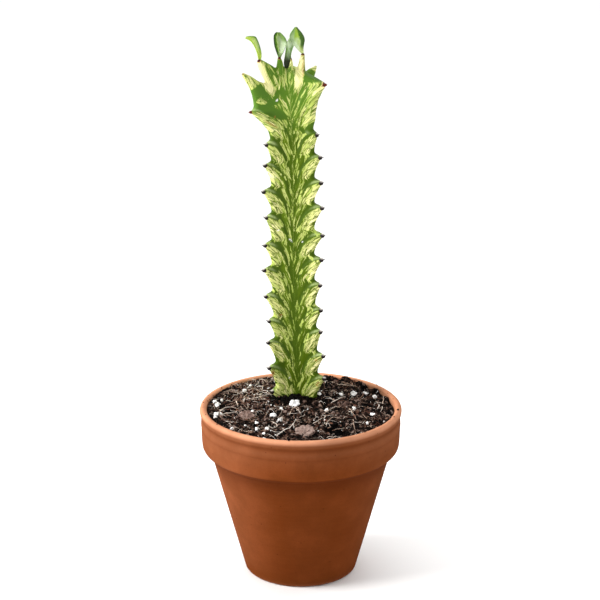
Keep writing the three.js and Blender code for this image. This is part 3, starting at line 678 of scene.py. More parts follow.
def crown_shell(index, tooth):
    """One young tooth as a closed shell, with its grain along its length."""
    stations = smooth_line(tooth["stations"], CROWN_STEPS)
    turn = math.radians(tooth["turn"])
    outward = np.array([math.cos(turn), math.sin(turn), 0])
    aside = np.array([-math.sin(turn), math.cos(turn), 0])

    def place(radius, height):
        axis = np.stack([axis_x(height), np.full_like(height, STEM_Y), height], axis=1)
        return axis + radius[:, None] * outward

    outer = place(stations[:, 0], stations[:, 1])
    inner = place(stations[:, 2], stations[:, 3])
    middle = (outer + inner) / 2
    reach = (outer - inner) / 2
    angles = np.arange(CROWN_SIDES) * 2 * math.pi / CROWN_SIDES
    cosines, sines = np.cos(angles), np.sin(angles)
    # The outer edge is keeled, the inner one round.
    keel = np.sign(sines) * np.abs(sines) ** (1 + 0.35 * (cosines > 0))
    points = middle[:, None] + reach[:, None] * cosines[None, :, None]
    points = points + stations[:, 4, None, None] * keel[None, :, None] * aside
    length = np.concatenate([[0], np.cumsum(np.linalg.norm(np.diff(middle, axis=0), axis=1))])
    outer_cream, left_cream, right_cream, inner_cream = tooth["cream"]
    side_cream = np.where(sines < 0, left_cream, right_cream) * sines**2
    cream = side_cream + np.where(cosines > 0, outer_cream, inner_cream) * cosines**2
    tip_start, tip_cream = tooth.get("tip", NO_TIP)
    in_tip = fade(length / length[-1], tip_start - 0.02, tip_start + 0.02)[:, None]
    cream = cream[None] * (1 - in_tip) + tip_cream * in_tip
    run = np.repeat(length[:, None], CROWN_SIDES, axis=1)
    cross = 1.7 * np.linalg.norm(reach, axis=1)[:, None] * angles[None, :]
    seat = np.full((CROWN_STEPS, CROWN_SIDES), (index + 4) * GRAIN_OF_RIB)
    dark = np.full((CROWN_STEPS, CROWN_SIDES), 0.55)
    table = np.dstack([points, run, cross, seat, cream, dark, 0 * dark]).reshape(-1, 9)
    foot = np.append(middle[0], [0, 0, (index + 4) * GRAIN_OF_RIB, 0.5, 0.4, 0])
    tip = np.append(middle[-1] + [0, 0, 0.3], [length[-1], 0, (index + 4) * GRAIN_OF_RIB, 0.9, 0, 0])
    return np.vstack([table, foot, tip]), stack_faces(CROWN_STEPS, CROWN_SIDES)


# Roots, from the buried end down into the mix: start, end, in millimetres.
ROOTS = [
    ((-2, 18, 70), (12, 24, 50)),
    ((-3, 18, 70), (-17, 25, 51)),
    ((-2, 17, 70), (4, 3, 49)),
    ((-3, 17, 68), (-12, 5, 46)),
    ((-2, 19, 68), (0, 31, 48)),
]
ROOT_STEPS = 12
ROOT_SIDES = 10


def root_shell(start, end):
    """One root as a closed shell that thins out towards its end."""
    share = np.linspace(0, 1, ROOT_STEPS)
    path = np.array(start) + np.subtract(end, start) * share[:, None]
    return tube(path, 2.2 - 1.5 * share, ROOT_SIDES)


def nearest_rows(sources, points, keys):
    """For each point, the values of the source points round it, from the same shell as the nearest one."""
    tree = KDTree(len(sources))
    for k, source in enumerate(sources):
        tree.insert(source[:3], k)
    tree.balance()
    result = np.empty((len(points), sources.shape[1] - 3))
    for k, point in enumerate(points):
        found = tree.find_n(point, 4)
        nearest_key = keys[found[0][1]]
        rows = [(index, distance) for _, index, distance in found if keys[index] == nearest_key]
        weights = [1 / (distance + 0.05) for _, distance in rows]
        total = sum(weights)
        result[k] = sum(sources[index, 3:] * (w / total) for (index, _), w in zip(rows, weights))
    return result


# Patches of the skin that don't follow the rule of the teeth: middle, half length, half width and tilt on
# the plane that the plant shows, then the cream share and the dark share there.
PATCHES = {
    "centre_low": ((-7, 258), 9, 4.6, 90, 0.42, 0.4),
    "centre_high": ((-7.4, 271), 8, 4.6, 78, 0.56, 0.5),
    "right_field": ((6.8, 259.5), 13.5, 4.6, 66, 1.05, 0.3),
    "right_inside": ((0.4, 262), 9, 2.6, 72, 0.42, 0.6),
    "right_field_low": ((3.6, 249), 5, 3, 60, 1.1, 0.1),
    "right_edge": ((9.6, 259), 12.5, 2.2, 76, 1.3, 0.0),
    "right_shoulder": ((3.2, 273.2), 3.4, 5.2, 20, 0.12, 1.0),
    "right_squiggle": ((5.8, 267.8), 5.4, 2, -8, 0.8, 0.5),
    "right_notch": ((6.6, 245.8), 4.4, 2.6, 30, 0.02, 1.3),
    "left_body": ((-19, 262.5), 8.5, 6.6, -20, 0.03, 1.1),
    "net_left": ((-22, 260.4), 2, 0.7, 50, 0.8, 0.8),
    "net_middle": ((-19.9, 261), 2, 0.7, -48, 0.8, 0.8),
    "net_right": ((-18.1, 260), 1.7, 0.7, 52, 0.8, 0.8),
    "net_low": ((-20, 259.2), 2.4, 0.7, -6, 0.8, 0.8),
    "left_ridge": ((-15.5, 254.6), 10.5, 2.6, -27, 0.04, 1.15),
    "left_band": ((-18, 249.7), 9.6, 2.3, -32, 1.3, 0.1),
    "left_outer_tip": ((-27.2, 271.4), 5.6, 3.6, -36, 1.0, 0.2),
    "left_inner_front": ((-18.5, 272.4), 11, 2.7, -67, 1.9, 0.0),
    "left_inner_flank": ((-13.6, 270.5), 10, 2.0, -60, 0.08, 0.7),
    "flank_streak": ((-12.4, 269.4), 4.4, 0.7, -66, 1.2, 0.2),
    "centre_streak": ((-9.6, 259.6), 4.6, 1.0, -62, 1.2, 0.2),
    "apex_left_body": ((-11, 277), 5, 2.2, 86, 0.15, 0.7),
    "apex_left_foot": ((-11.8, 275.2), 2.4, 0.8, 80, 0.95, 0.2),
    "right_inner_front": ((-0.8, 274), 10.5, 2.6, 84, 1.7, 0.0),
    "foot_left": ((-9.6, 99.6), 6.4, 2.6, -24, 1.1, 0.1),
}

# White dust that clings to the skin: middle on the same plane, half length, half width, tilt and share.
DUST = [
    ((-12.4, 260.4), 0.8, 0.42, 50, 1),
    ((-18.5, 198), 0.4, 0.4, 0, 1),
    ((-12, 189.9), 0.42, 0.4, 0, 1),
    ((0.9, 183.4), 0.4, 0.38, 0, 1),
    ((-5.4, 184.1), 1.3, 0.26, -38, 1),
    ((-6.2, 106.1), 0.42, 0.4, 0, 1),
    ((-13.2, 219), 0.4, 0.36, 0, 1),
]

# Brown places in the same form: dried tips, a painted shadow in the hollow of the crown, scars, then
# blushing edges.
BROWNS_AND_SHADOW = [
    ((-22, 281.6), 1.5, 1.6, 0, 1.0),
    ((-11, 282.6), 1.5, 1.3, 0, 1.2),
    # Painted shadow in the hollow of the crown, in the dried brown.
    ((-7.6, 280.2), 1.8, 2.6, 0, 1.2),
    ((-4.4, 281.4), 1.1, 1.0, 0, 0.9),
    ((1.2, 284), 1.9, 1.1, 0, 1.0),
    ((12.8, 269), 1.8, 1.5, 0, 1.1),
    ((-26.6, 254.4), 1.4, 1.2, 0, 0.9),
    ((-30.6, 275), 1.1, 1.0, 0, 0.7),
    ((-15.2, 109.6), 0.7, 1.5, 0, 0.75),
    ((8.9, 102.4), 0.9, 0.35, -50, 0.75),
    ((9.6, 104), 0.75, 0.6, 0, 0.8),
    ((8.4, 117), 0.5, 0.45, 0, 0.7),
    ((-10.7, 142.6), 0.8, 0.4, 0, 0.85),
    ((-13.6, 251.4), 0.5, 0.35, 0, 0.7),
    ((-21.3, 275), 6, 0.6, -70, 0.3),
    ((1.3, 277), 5.4, 0.55, 88, 0.3),
    ((-15.4, 247.6), 4.6, 0.5, -34, 0.28),
    ((11.4, 262.5), 6.5, 0.55, 72, 0.24),
    ((-30.6, 273.6), 2, 0.6, -40, 0.3),
]


def patch_mask(points, middle, half_length, half_width, tilt):
    """1 in the middle of a tilted oval on the plane that the plant shows, and 0 outside it."""
    turn = math.radians(tilt)
    x, z = points[:, 0] - middle[0], points[:, 2] - middle[1]
    along = (x * math.cos(turn) + z * math.sin(turn)) / half_length
    across = (z * math.cos(turn) - x * math.sin(turn)) / half_width
    shown = 1 - fade(points[:, 1], STEM_Y + 2, STEM_Y + 6)
    return (1 - fade(np.hypot(along, across), 0.7, 1.15)) * shown


def spotted(points, spots):
    """The share of the strongest spot at each point."""
    return np.maximum.reduce([share * patch_mask(points, *oval) for *oval, share in spots])


def stem_attributes(skin, shells):
    """Carries the grain and the colour shares over to the joined skin, and lays the patches over them."""
    points = places(skin)
    sources = np.vstack([table for table, _ in shells])
    values = nearest_rows(sources, points, np.round(sources[:, 5]))
    # The cells grow longer in the crown.
    values[:, 0] *= 1 - 0.45 * fade(points[:, 2], 240, 252)
    cream, dark, painted_highlight = values[:, 3], values[:, 4], values[:, 5]
    for *oval, patch_cream, patch_dark in PATCHES.values():
        mask = patch_mask(points, *oval)
        cream += (patch_cream - cream) * mask
        dark += (patch_dark - dark) * mask
        painted_highlight *= 1 - mask
    brown_and_shadow, dust = spotted(points, BROWNS_AND_SHADOW), spotted(points, DUST)
    return {"grain": values[:, :3], "cream": cream, "dark": dark, "painted_highlight": painted_highlight, "brown_and_shadow": brown_and_shadow, "dust": dust}


def make_stem():
    shells = [stem_shell()]
    shells += [crown_shell(index, tooth) for index, tooth in enumerate(CROWN)]
    blocks = [(table[:, :3], faces) for table, faces in shells]
    skin = mesh_of("stem_skin", blocks + [root_shell(*root) for root in ROOTS])
    apply_modifier(skin, "REMESH", mode="VOXEL", voxel_size=0.6 * MM)
    apply_modifier(skin, "SMOOTH", factor=0.5, iterations=3)
    for name, values in stem_attributes(skin, shells).items():
        give_attribute(skin, name, values)
    finish_piece(skin, stem_material(), "stem_skin", "stem")


SKIN = {
    "green": "566d0e",
    "dark": "3b5107",
    "light": "9cb04a",
    "cream": "cacd7f",
    "thread": "4f5c14",
    "painted_highlight": "c8d893",
    "pure": "ebe5a5",
    "young": "5b8c33",
    "dust": "f4f2ea",
    "blush": "c4763e",
    "dried_and_shadow": "46180e",
}


def stem_material():
    """Succulent skin: living green epidermis under a thin wax. Soft satin shine, light sinks in a little,
    and tissue without chlorophyll shows as long cream cells along the grain, parted by green threads. A
    painted highlight runs along the tops of some teeth, and a painted shadow darkens the hollow of the
    crown."""
    material, add = new_material("euphorbia_skin_waxy")
    names = ("dark", "painted_highlight", "brown_and_shadow", "dust")
    shares = {name: add("Attribute", out="Fac", attribute_name=name) for name in names}
    cream = add("Attribute", out="Fac", attribute_name="cream")
    grain = add("Attribute", out="Vector", attribute_name="grain")
    height = add("SeparateXYZ", {"Vector": add("TexCoord", out="Object")}, out="Z")
    youth = add("MapRange", {"Value": height, "From Min": 238 * MM, "From Max": 256 * MM, "To Max": 0.35})
    # The cells are about 8 mm long and 3 mm wide at a rib's edge, half that in the groove, and their borders
    # wander.
    wander = add("TexNoise", {"Vector": grain, "Scale": 1 / 2.6, "Detail": 3, "Roughness": 0.55})
    shift = {0: wander.node.outputs["Color"], 1: (2.2, 1.2, 0), 2: grain}
    bent = add("VectorMath", shift, operation="MULTIPLY_ADD")
    laid = add("Mapping", {"Vector": bent, "Scale": (1 / 8.5, 1 / 2.7, 1)})
    cell_colour = add("TexVoronoi", {"Vector": laid, "Scale": 1}, out="Color")
    border = add("TexVoronoi", {"Vector": laid, "Scale": 1}, feature="DISTANCE_TO_EDGE")
    cell_luck = add("SeparateColor", {"Color": cell_colour}, out="Red")
    fine = add("Mapping", {"Vector": bent, "Scale": (1 / 3.5, 1 / 0.8, 1)})
    fibres = add("TexNoise", {"Vector": fine, "Scale": 1, "Detail": 2, "Roughness": 0.6})
    fray = {"Value": fibres, "From Min": 0.25, "From Max": 0.75, "To Min": -0.14, "To Max": 0.14}
    chance = add("Math", {0: cream, 1: cell_luck}, operation="SUBTRACT")
    margin = add("Math", {0: chance, 1: add("MapRange", fray)}, operation="ADD")
    in_cell = add("MapRange", {"Value": margin, "From Min": -0.04, "From Max": 0.06})
    # The green threads between cells are up to half a millimetre wide and fade out here and there.
    thinning = {"Value": wander, "From Min": 0.35, "From Max": 0.65, "To Min": 0.01, "To Max": 0.17}
    thread_width = add("MapRange", thinning)
    off_border = add("MapRange", {"Value": border, "From Min": 0.0, "From Max": thread_width})
    pale = add("MapRange", {"Value": margin, "From Min": 0.0, "From Max": 0.6})
    light = add("Mix", {0: pale, 6: SKIN["light"], 7: SKIN["cream"]}, **COLOURS)
    solid = add("MapRange", {"Value": margin, "From Min": 0.75, "From Max": 1.25})
    creamed = add("Mix", {0: solid, 6: light, 7: SKIN["pure"]}, **COLOURS)
    # Finer olive threads run through the cream, 1.5 mm apart or so, but not through the purest cream.
    strung = add("Mapping", {"Vector": grain, "Scale": (1 / 11, 1 / 2.1, 1)})
    strands = add("TexNoise", {"Vector": strung, "Scale": 1, "Detail": 1.5, "Roughness": 0.45})
    off_strand = add("Math", {0: strands, 1: 0.5}, operation="SUBTRACT")
    near_strand = add("Math", {0: off_strand}, operation="ABSOLUTE")
    narrow = {"Value": near_strand, "From Min": 0.014, "From Max": 0.036, "To Min": 1, "To Max": 0}
    purest = {"Value": cream, "From Min": 1.3, "From Max": 1.7, "To Min": 1, "To Max": 0.3}
    strand_shares = {0: add("MapRange", narrow), 1: add("MapRange", purest)}
    strung_share = add("Math", strand_shares, operation="MULTIPLY")
    lined = add("Mix", {0: strung_share, 6: creamed, 7: SKIN["thread"]}, **COLOURS)
    unparted = add("MapRange", {"Value": cream, "From Min": 1.3, "From Max": 1.7})
    filled = add("Math", {0: off_border, 1: unparted}, operation="MAXIMUM")
    shown = add("Math", {0: in_cell, 1: filled}, operation="MULTIPLY")
    mottle = {"Value": fibres, "From Min": 0.3, "From Max": 0.7, "To Min": -0.3, "To Max": 0.3}
    depth = add("Math", {0: shares["dark"], 1: add("MapRange", mottle)}, operation="ADD", use_clamp=True)
    green = add("Mix", {0: depth, 6: SKIN["green"], 7: SKIN["dark"]}, **COLOURS)
    fresh = add("Mix", {0: youth, 6: green, 7: SKIN["young"]}, **COLOURS)
    # Painted highlight along the tops of some teeth.
    highlighted_skin = add("Mix", {0: shares["painted_highlight"], 6: fresh, 7: SKIN["painted_highlight"]}, **COLOURS)
    marbled = add("Mix", {0: shown, 6: highlighted_skin, 7: lined}, **COLOURS)
    # Dried browns, and a painted shadow in the hollow of the crown.
    scorch_and_shadow = add("ValToRGB", {"Fac": shares["brown_and_shadow"]}, [(0.3, SKIN["blush"]), (0.75, SKIN["dried_and_shadow"])])
    dried_and_shadow = add("Mix", {0: shares["brown_and_shadow"], 6: marbled, 7: scorch_and_shadow}, **COLOURS)
    dusted = add("Mix", {0: shares["dust"], 6: dried_and_shadow, 7: SKIN["dust"]}, **COLOURS)
    relief = add("Bump", {"Height": fibres, "Strength": 0.3, "Distance": 0.25 * MM})
    return shaded(
        material,
        Base_Color=dusted,
        Normal=relief,
        Roughness=0.42,
        IOR=1.42,
        Specular_IOR_Level=0.08,
        Subsurface_Weight=0.06,
        Subsurface_Radius=(1.2, 1.6, 0.5),
        Subsurface_Scale=0.6 * MM,
    )


# Thorns: a pair on a small dry shield at each tooth

SPINE_LENGTH = 1.6
SPINE_ROOT = 1
SPINE_RADIUS = 0.68
SPINE_TIP_RADIUS = 0.2
SPINE_SPREAD = 36
SPINE_RISE = 0.3
# Half sizes of a shield across, up and out, and how much smaller a young one is.
SHIELD_SIZE = np.array([1.35, 1.2, 1.3])
YOUNG_SHIELD = (0.62, 0.62, 0.8)
LOWEST_THORN = 98


def model_spine():
    """One spine that points along +Z from its root: a cone, cut into lengths and bent a little."""
    length = (SPINE_LENGTH + SPINE_ROOT) * MM
    spine = new_shape(
        bpy.ops.mesh.primitive_cone_add,
        "spine",
        vertices=10,
        radius1=SPINE_RADIUS * MM,
        radius2=SPINE_TIP_RADIUS * MM,
        depth=length,
        location=(0, 0, length / 2),
    )
    bpy.ops.object.transform_apply(location=True, rotation=True, scale=True)
    with editing(spine):
        for share in (0.25, 0.5, 0.75, 0.9):
            bpy.ops.mesh.select_all(action="SELECT")
            bpy.ops.mesh.bisect(plane_co=(0, 0, length * share), plane_no=(0, 0, 1))
    points = places(spine)
    way = points[:, 2] / (SPINE_LENGTH + SPINE_ROOT)
    points[:, 0] += 0.35 * way**2.2
    points[:, :2] *= (1 - 0.25 * fade(way, 0.4, 0.9))[:, None]
    move_points(spine, points)
    give_attribute(spine, "pale", np.zeros(len(points)))
    return spine


def model_shield():
    """The dry pad under a pair of spines."""
    shield = new_shape(bpy.ops.mesh.primitive_uv_sphere_add, "shield", segments=14, ring_count=8, radius=MM)
    points = places(shield)
    # Pale on the pad's upper part: an ash-grey scale and a painted highlight.
    give_attribute(shield, "pale", fade(points[:, 1] + 0.4 * points[:, 2], 0.64, 0.95))
    ridged = 1 + 0.08 * np.sin(points[:, 0] * 7) * np.cos(points[:, 1] * 9)
    move_points(shield, points * (ridged[:, None] * SHIELD_SIZE))
    return shield


def spine_places():
    """For each tooth, its tip, the direction it points in and whether it is a young one of the crown."""
    spots = []
    for rib, rib_angle in enumerate(RIB_ANGLES):
        turn = math.radians(rib_angle)
        outward = Vector((math.cos(turn), math.sin(turn), 0))
        for height in [tip for tip, _ in TEETH[rib] if tip > LOWEST_THORN] + [FLARE_TIPS[rib]]:
            edge = float(rib_edge(rib, np.array([height]))[0])
            place = Vector((float(axis_x(height)), STEM_Y, height)) + outward * edge
            spots.append((place, outward, height in FLARE_TIPS))
    return spots


def copy_of(shape, direction, place, scale, young):
    """A copy that points in a direction from a place in millimetres."""
    copy = shape.copy()
    copy.data = shape.data.copy()
    copy.matrix_world = direction.to_track_quat("Z", "Y").to_matrix().to_4x4()
    copy.matrix_world.translation = place * MM
    copy.scale = scale
    give_attribute(copy, "young", np.full(len(copy.data.vertices), float(young)))
    bpy.context.scene.collection.objects.link(copy)
    return copy


def joined(parts, name):
    """Joins loose parts into one mesh whose object sits at the origin."""
    bpy.context.view_layer.update()
    only(parts[0])
    for part in parts:
        part.select_set(True)
    bpy.ops.object.join()
    bpy.context.object.name = name
    bpy.ops.object.transform_apply(location=True, rotation=True, scale=True)
    return bpy.context.object


def make_thorns():
    spine, shield = model_spine(), model_shield()
    parts = []
    for number, (tip, outward, young) in enumerate(spine_places()):
        luck = random.Random(500 + number)
        across = Vector((-outward.y, outward.x, 0))
        for side in (-1, 1):
            turn = side * math.radians(SPINE_SPREAD * luck.uniform(0.8, 1.25))
            direction = Vector((outward.x, outward.y, SPINE_RISE * luck.uniform(0.2, 1.8))).normalized()
            direction = (direction * math.cos(turn) + across * math.sin(turn)).normalized()
            start = tip - direction * SPINE_ROOT + across * 0.3 * side
            length = luck.uniform(0.85, 1.1) * (0.6 if young else 1)
            parts.append(copy_of(spine, direction, start, (1, 1, length), young))
        seat = tip - outward * (0.55 if young else 0.3)
        parts.append(copy_of(shield, outward, seat, YOUNG_SHIELD if young else (1, 1, 1), young))
    bpy.data.objects.remove(spine)
    bpy.data.objects.remove(shield)
    finish_piece(joined(parts, "thorns"), thorn_material(), "bark")


def thorn_material():
    """Dead, corky thorn tissue: dull and nearly black, with an ash-grey scale on the upper part of each pad
    that also serves as a painted highlight.
    """
    material, add = new_material("thorn_dry_corky")
    place = add("TexCoord", out="Object")
    pale = add("Attribute", out="Fac", attribute_name="pale")
    young = add("Attribute", out="Fac", attribute_name="young")
    mottle = add("TexNoise", {"Vector": place, "Scale": per_mm(0.8), "Detail": 3, "Roughness": 0.6})
    horn = add("ValToRGB", {"Fac": mottle}, [(0.35, "0c0807"), (0.6, "1d1411"), (0.8, "43352c")])
    grey_scale_and_highlight = add("Mix", {0: pale, 6: horn, 7: "b3aca4"}, **COLOURS)
    reddened = add("Mix", {0: young, 6: grey_scale_and_highlight, 7: "5c1f14"}, **COLOURS)
    relief = add("Bump", {"Height": mottle, "Strength": 0.5, "Distance": 0.1 * MM})
    return shaded(material, Base_Color=reddened, Normal=relief, Roughness=0.62, Specular_IOR_Level=0.15)


# Leaves: thin, spoon-shaped blades with a folded midrib, each on a young tooth of the crown

LEAF_THICKNESS = 0.55
LEAF_ALONG = 34
LEAF_ACROSS = 16
LEAF_WAX_AND_HIGHLIGHT = "d9e6c6"

# Each blade is drawn by three lines from the stalk to the tip: its left edge, its midrib and its right edge
# as the plant shows them. Its bands are colours across it, from 0 at the left edge to 1 at the right one,
# with painted shade on the side of a fold turned from the light and painted highlight on the side turned to
# it. Its wax bloom and painted highlight lie in ovals, given as place across, place along, both half sizes
# and share.
LEAVES = {
    "leaf_left": {
        "left": [
            (-21.9, 9.2, 281.2), (-22.3, 8.8, 283.4), (-22.8, 8.2, 285.6), (-23.9, 7.9, 288.5),
            (-25.2, 7.6, 290.7), (-26.5, 7.5, 291.8), (-27.6, 7.5, 292.3), (-28.7, 7.7, 292.9),
        ],
        "middle": [
            (-21.3, 9.4, 281.2), (-21.3, 9.2, 283.2), (-21.6, 9.2, 285.4), (-22.5, 9.3, 288.4),
            (-23.7, 9.2, 290.9), (-24.9, 8.8, 292.5), (-26.6, 8.4, 293.0), (-28.5, 8.0, 293.1),
        ],
        "right": [
            (-20.7, 9.2, 281.2), (-20.4, 8.9, 283.2), (-20.4, 8.8, 285.5), (-21.1, 9.0, 288.6),
            (-22.1, 9.4, 291.3), (-23.2, 9.8, 293.3), (-25.6, 9.6, 293.6), (-28.1, 8.8, 293.5),
        ],
        "bands_with_painted_light": [(0.04, "8ba637"), (0.2, "b4c752"), (0.52, "a4bb48"), (0.72, "83a236"), (0.94, "45681e")],
        "foot": "93a83c",
        "foot_end": 0.4,
        "bloom_and_highlight": [(0.5, 0.5, 0.5, 0.3, 0.25)],
    },
    "leaf_middle_left": {
        "left": [
            (-11.4, 12.8, 281.4), (-11.9, 12.2, 283.2), (-12.6, 11.4, 285.1), (-13.5, 11, 288.2),
            (-13.8, 10.9, 290.8), (-13.9, 11, 293.1), (-13.5, 11.4, 294.5), (-12.5, 12.2, 295.3),
        ],
        "middle": [
            (-11, 13, 281.4), (-11, 12.9, 283.1), (-11.2, 12.8, 284.9), (-11.7, 13, 287.9),
            (-12.1, 13.2, 290.6), (-12.3, 13.3, 292.8), (-12, 13.3, 294.2), (-11.7, 13.2, 295.2),
        ],
        "right": [
            (-10.6, 12.8, 281.4), (-10.1, 12.3, 283.1), (-9.2, 11.6, 284.7), (-7.8, 11, 287.6),
            (-7.1, 10.8, 289.9), (-7.8, 11.2, 292.3), (-9.3, 12, 294), (-10.9, 12.8, 295.2),
        ],
        "bands_with_painted_light": [
            (0.04, "1c3612"), (0.14, "44651c"), (0.4, "5c8328"),
            (0.47, "bccd86"), (0.55, "82a04e"), (0.95, "527030"),
        ],
        "foot": "5a7430",
        "foot_end": 0.3,
        "bloom_and_highlight": [(0.8, 0.42, 0.3, 0.26, 0.7), (0.62, 0.62, 0.16, 0.2, 0.35), (0.62, 0.2, 0.4, 0.16, 0.45)],
    },
    "leaf_centre": {
        "left": [
            (-8.4, 13.8, 276.4), (-8.8, 13.4, 279.4), (-8.3, 13.4, 283), (-7.7, 13, 286.3),
            (-7.3, 13, 288.6), (-6.9, 13.4, 290.6), (-5.9, 14.6, 292.1),
        ],
        "middle": [
            (-6.8, 14.4, 276.4), (-6.7, 14.4, 279.4), (-6.6, 14.2, 283), (-6.3, 14.2, 286.1),
            (-5.8, 14.4, 288.4), (-5.4, 14.8, 290.4), (-5.3, 15.2, 292),
        ],
        "right": [
            (-5.2, 13.8, 276.4), (-4.9, 13.4, 279.4), (-5.1, 13.4, 283), (-4.3, 13, 286.5),
            (-3.6, 13.2, 288.6), (-4, 14, 290.4), (-4.6, 14.8, 291.9),
        ],
        "bands_with_painted_light": [(0.05, "5d7c3c"), (0.4, "93b078"), (0.6, "a9c295"), (0.95, "6d9150")],
        # This leaf's foot is near black: a painted shadow in the hollow of the crown.
        "foot": "0d1403",
        "foot_end": 0.46,
        "bloom_and_highlight": [(0.5, 0.85, 0.9, 0.34, 1.0)],
    },
    "leaf_right": {
        "left": [
            (0.4, 14.8, 283.8), (-0.5, 14.3, 284.9), (-1.7, 13.4, 286.2), (-3.5, 12.6, 288.4),
            (-5, 12.2, 290.4), (-5.8, 12.2, 292.3), (-5.6, 12.4, 294.3), (-4.1, 13, 296.5),
            (-2.9, 13.8, 297.8),
        ],
        "middle": [
            (0.9, 15, 283.8), (0.5, 14.8, 285), (-0.1, 14.4, 286.3), (-0.9, 14.2, 288.4), (-1.4, 14, 290.6),
            (-1.9, 13.9, 292.8), (-2.1, 13.9, 294.8), (-2.4, 14, 296.6), (-2.5, 14.2, 297.8),
        ],
        "right": [
            (1.4, 14.8, 283.8), (1.4, 14.3, 285), (1.3, 13.6, 286.4), (1.7, 13.2, 288.8), (2.1, 13, 291.1),
            (1.6, 13, 293.2), (0.3, 13.2, 295.2), (-1, 13.6, 296.6), (-2.1, 14, 297.8),
        ],
        "bands_with_painted_light": [
            (0.04, "5f8040"), (0.22, "87a662"), (0.3, "86a636"),
            (0.6, "93ae3c"), (0.7, "3c5c18"), (0.96, "2b450f"),
        ],
        "foot": "b3bf7e",
        "foot_end": 0.36,
        "bloom_and_highlight": [(0.2, 0.32, 0.34, 0.24, 0.8), (0.45, 0.46, 0.3, 0.18, 0.45), (0.15, 0.6, 0.2, 0.2, 0.3)],
    },
}


def leaf_points(leaf):
    """The middle surface of a leaf: rows from stalk to tip, with each point's place across and along and its
    share of wax bloom and painted highlight."""
    rows = LEAF_ALONG + 1
    left, middle, right = (smooth_line(leaf[edge], rows) for edge in ("left", "middle", "right"))
    across = np.linspace(-1, 1, LEAF_ACROSS + 1)[None, :, None]
    along = np.linspace(0, 1, rows)[:, None]
    slope = (right - left)[:, None] / 2
    hollow = (left + right - 2 * middle)[:, None] / 2
    points = middle[:, None] + slope * across + hollow * (0.6 * across**2 + 0.4 * np.abs(across))
    across = across[:, :, 0]
    crumple = 0.22 * np.sin(13 * along + 2.2 * across) * across**2
    points[:, :, 1] += crumple * np.sin(math.pi * along)
    share = (across + 1) / 2
    bloom_and_highlight = np.zeros((rows, LEAF_ACROSS + 1))
    for place_across, place_along, half_across, half_along, strength in leaf["bloom_and_highlight"]:
        away = np.hypot((share - place_across) / half_across, (along - place_along) / half_along)
        bloom_and_highlight = np.maximum(bloom_and_highlight, strength * (1 - fade(away, 0.4, 1.1)))
    blade = np.dstack([*np.broadcast_arrays(share, along), bloom_and_highlight])
    return points.reshape(-1, 3), blade.reshape(-1, 3)


def make_leaf(name, leaf):
    obj = new_shape(
        bpy.ops.mesh.primitive_grid_add,
        f"{name}_blade",
        x_subdivisions=LEAF_ACROSS,
        y_subdivisions=LEAF_ALONG,
        size=1,
    )
    points, blade = leaf_points(leaf)
    move_points(obj, points)
    give_attribute(obj, "blade", blade)
    apply_modifier(obj, "SOLIDIFY", thickness=LEAF_THICKNESS * MM, offset=0)
    apply_modifier(obj, "SUBSURF", levels=1, render_levels=1)
    finish_piece(obj, leaf_material(name, leaf), "leaf_skin", name)


def leaf_material(name, leaf):
    """Young euphorbia leaf: soft, slightly fleshy and waxy, in bands along its folds that carry painted
    shade and painted highlight, with a pale bloom of wax and a painted highlight in its hollow. The centre
    leaf's foot is a painted shadow."""
    material, add = new_material(f"{name}_waxy_blade")
    place = add("TexCoord", out="Object")
    blade = add("Attribute", out="Vector", attribute_name="blade")
    across, along, bloom_and_highlight = add("SeparateXYZ", {"Vector": blade}).node.outputs
    mottle = add("TexNoise", {"Vector": place, "Scale": per_mm(2), "Detail": 3, "Roughness": 0.6})
    wander = {"Value": mottle, "From Min": 0.3, "From Max": 0.7, "To Min": -0.08, "To Max": 0.08}
    shifted = add("Math", {0: across, 1: add("MapRange", wander)}, operation="ADD")
    # Leaf colour in bands, with painted shade on the fold turned from the light and painted highlight on the
    # other side.
    banded_with_painted_light = add("ValToRGB", {"Fac": shifted}, leaf["bands_with_painted_light"])
    patchy = add("MapRange", {"Value": mottle, "From Min": 0.3, "From Max": 0.6, "To Min": 0.45})
    # Wax bloom and painted highlight.
    wax_and_highlight_share = add("Math", {0: bloom_and_highlight, 1: patchy}, operation="MULTIPLY")
    waxed_and_highlit = add("Mix", {0: wax_and_highlight_share, 6: banded_with_painted_light, 7: LEAF_WAX_AND_HIGHLIGHT}, **COLOURS)
    end = leaf["foot_end"]
    foot = {"Value": along, "From Min": end - 0.25, "From Max": end, "To Min": 0.95, "To Max": 0}
    footed = add("Mix", {0: add("MapRange", foot), 6: waxed_and_highlit, 7: leaf["foot"]}, **COLOURS)
    relief = add("Bump", {"Height": mottle, "Strength": 0.4, "Distance": 0.35 * MM})
    return shaded(
        material,
        Base_Color=footed,
        Normal=relief,
        Roughness=0.42,
        Specular_IOR_Level=0.12,
        Subsurface_Weight=0.1,
        Subsurface_Radius=(1.0, 1.5, 0.4),
        Subsurface_Scale=0.8 * MM,
    )


# Potting mix: its ground is read from the CAD mix, and crumbs, roots and grains lie on it

GROUND_HALF = 54
GROUND_LOW = 88.4
GROUND_SMOOTHINGS = 400
ABOVE_GROUND = 120
BRIM = 50.85
SEED = 41
SOIL_GRID = 280
CRUMB_SEEDS = 8200
# The mix's sides go down inside the pot in steps: how far each one drops and how much it narrows.
SIDE_STEPS = [(14, 0.985), (7, 0.9), (56, 0.64)]
MIX_FLOOR = 7.8

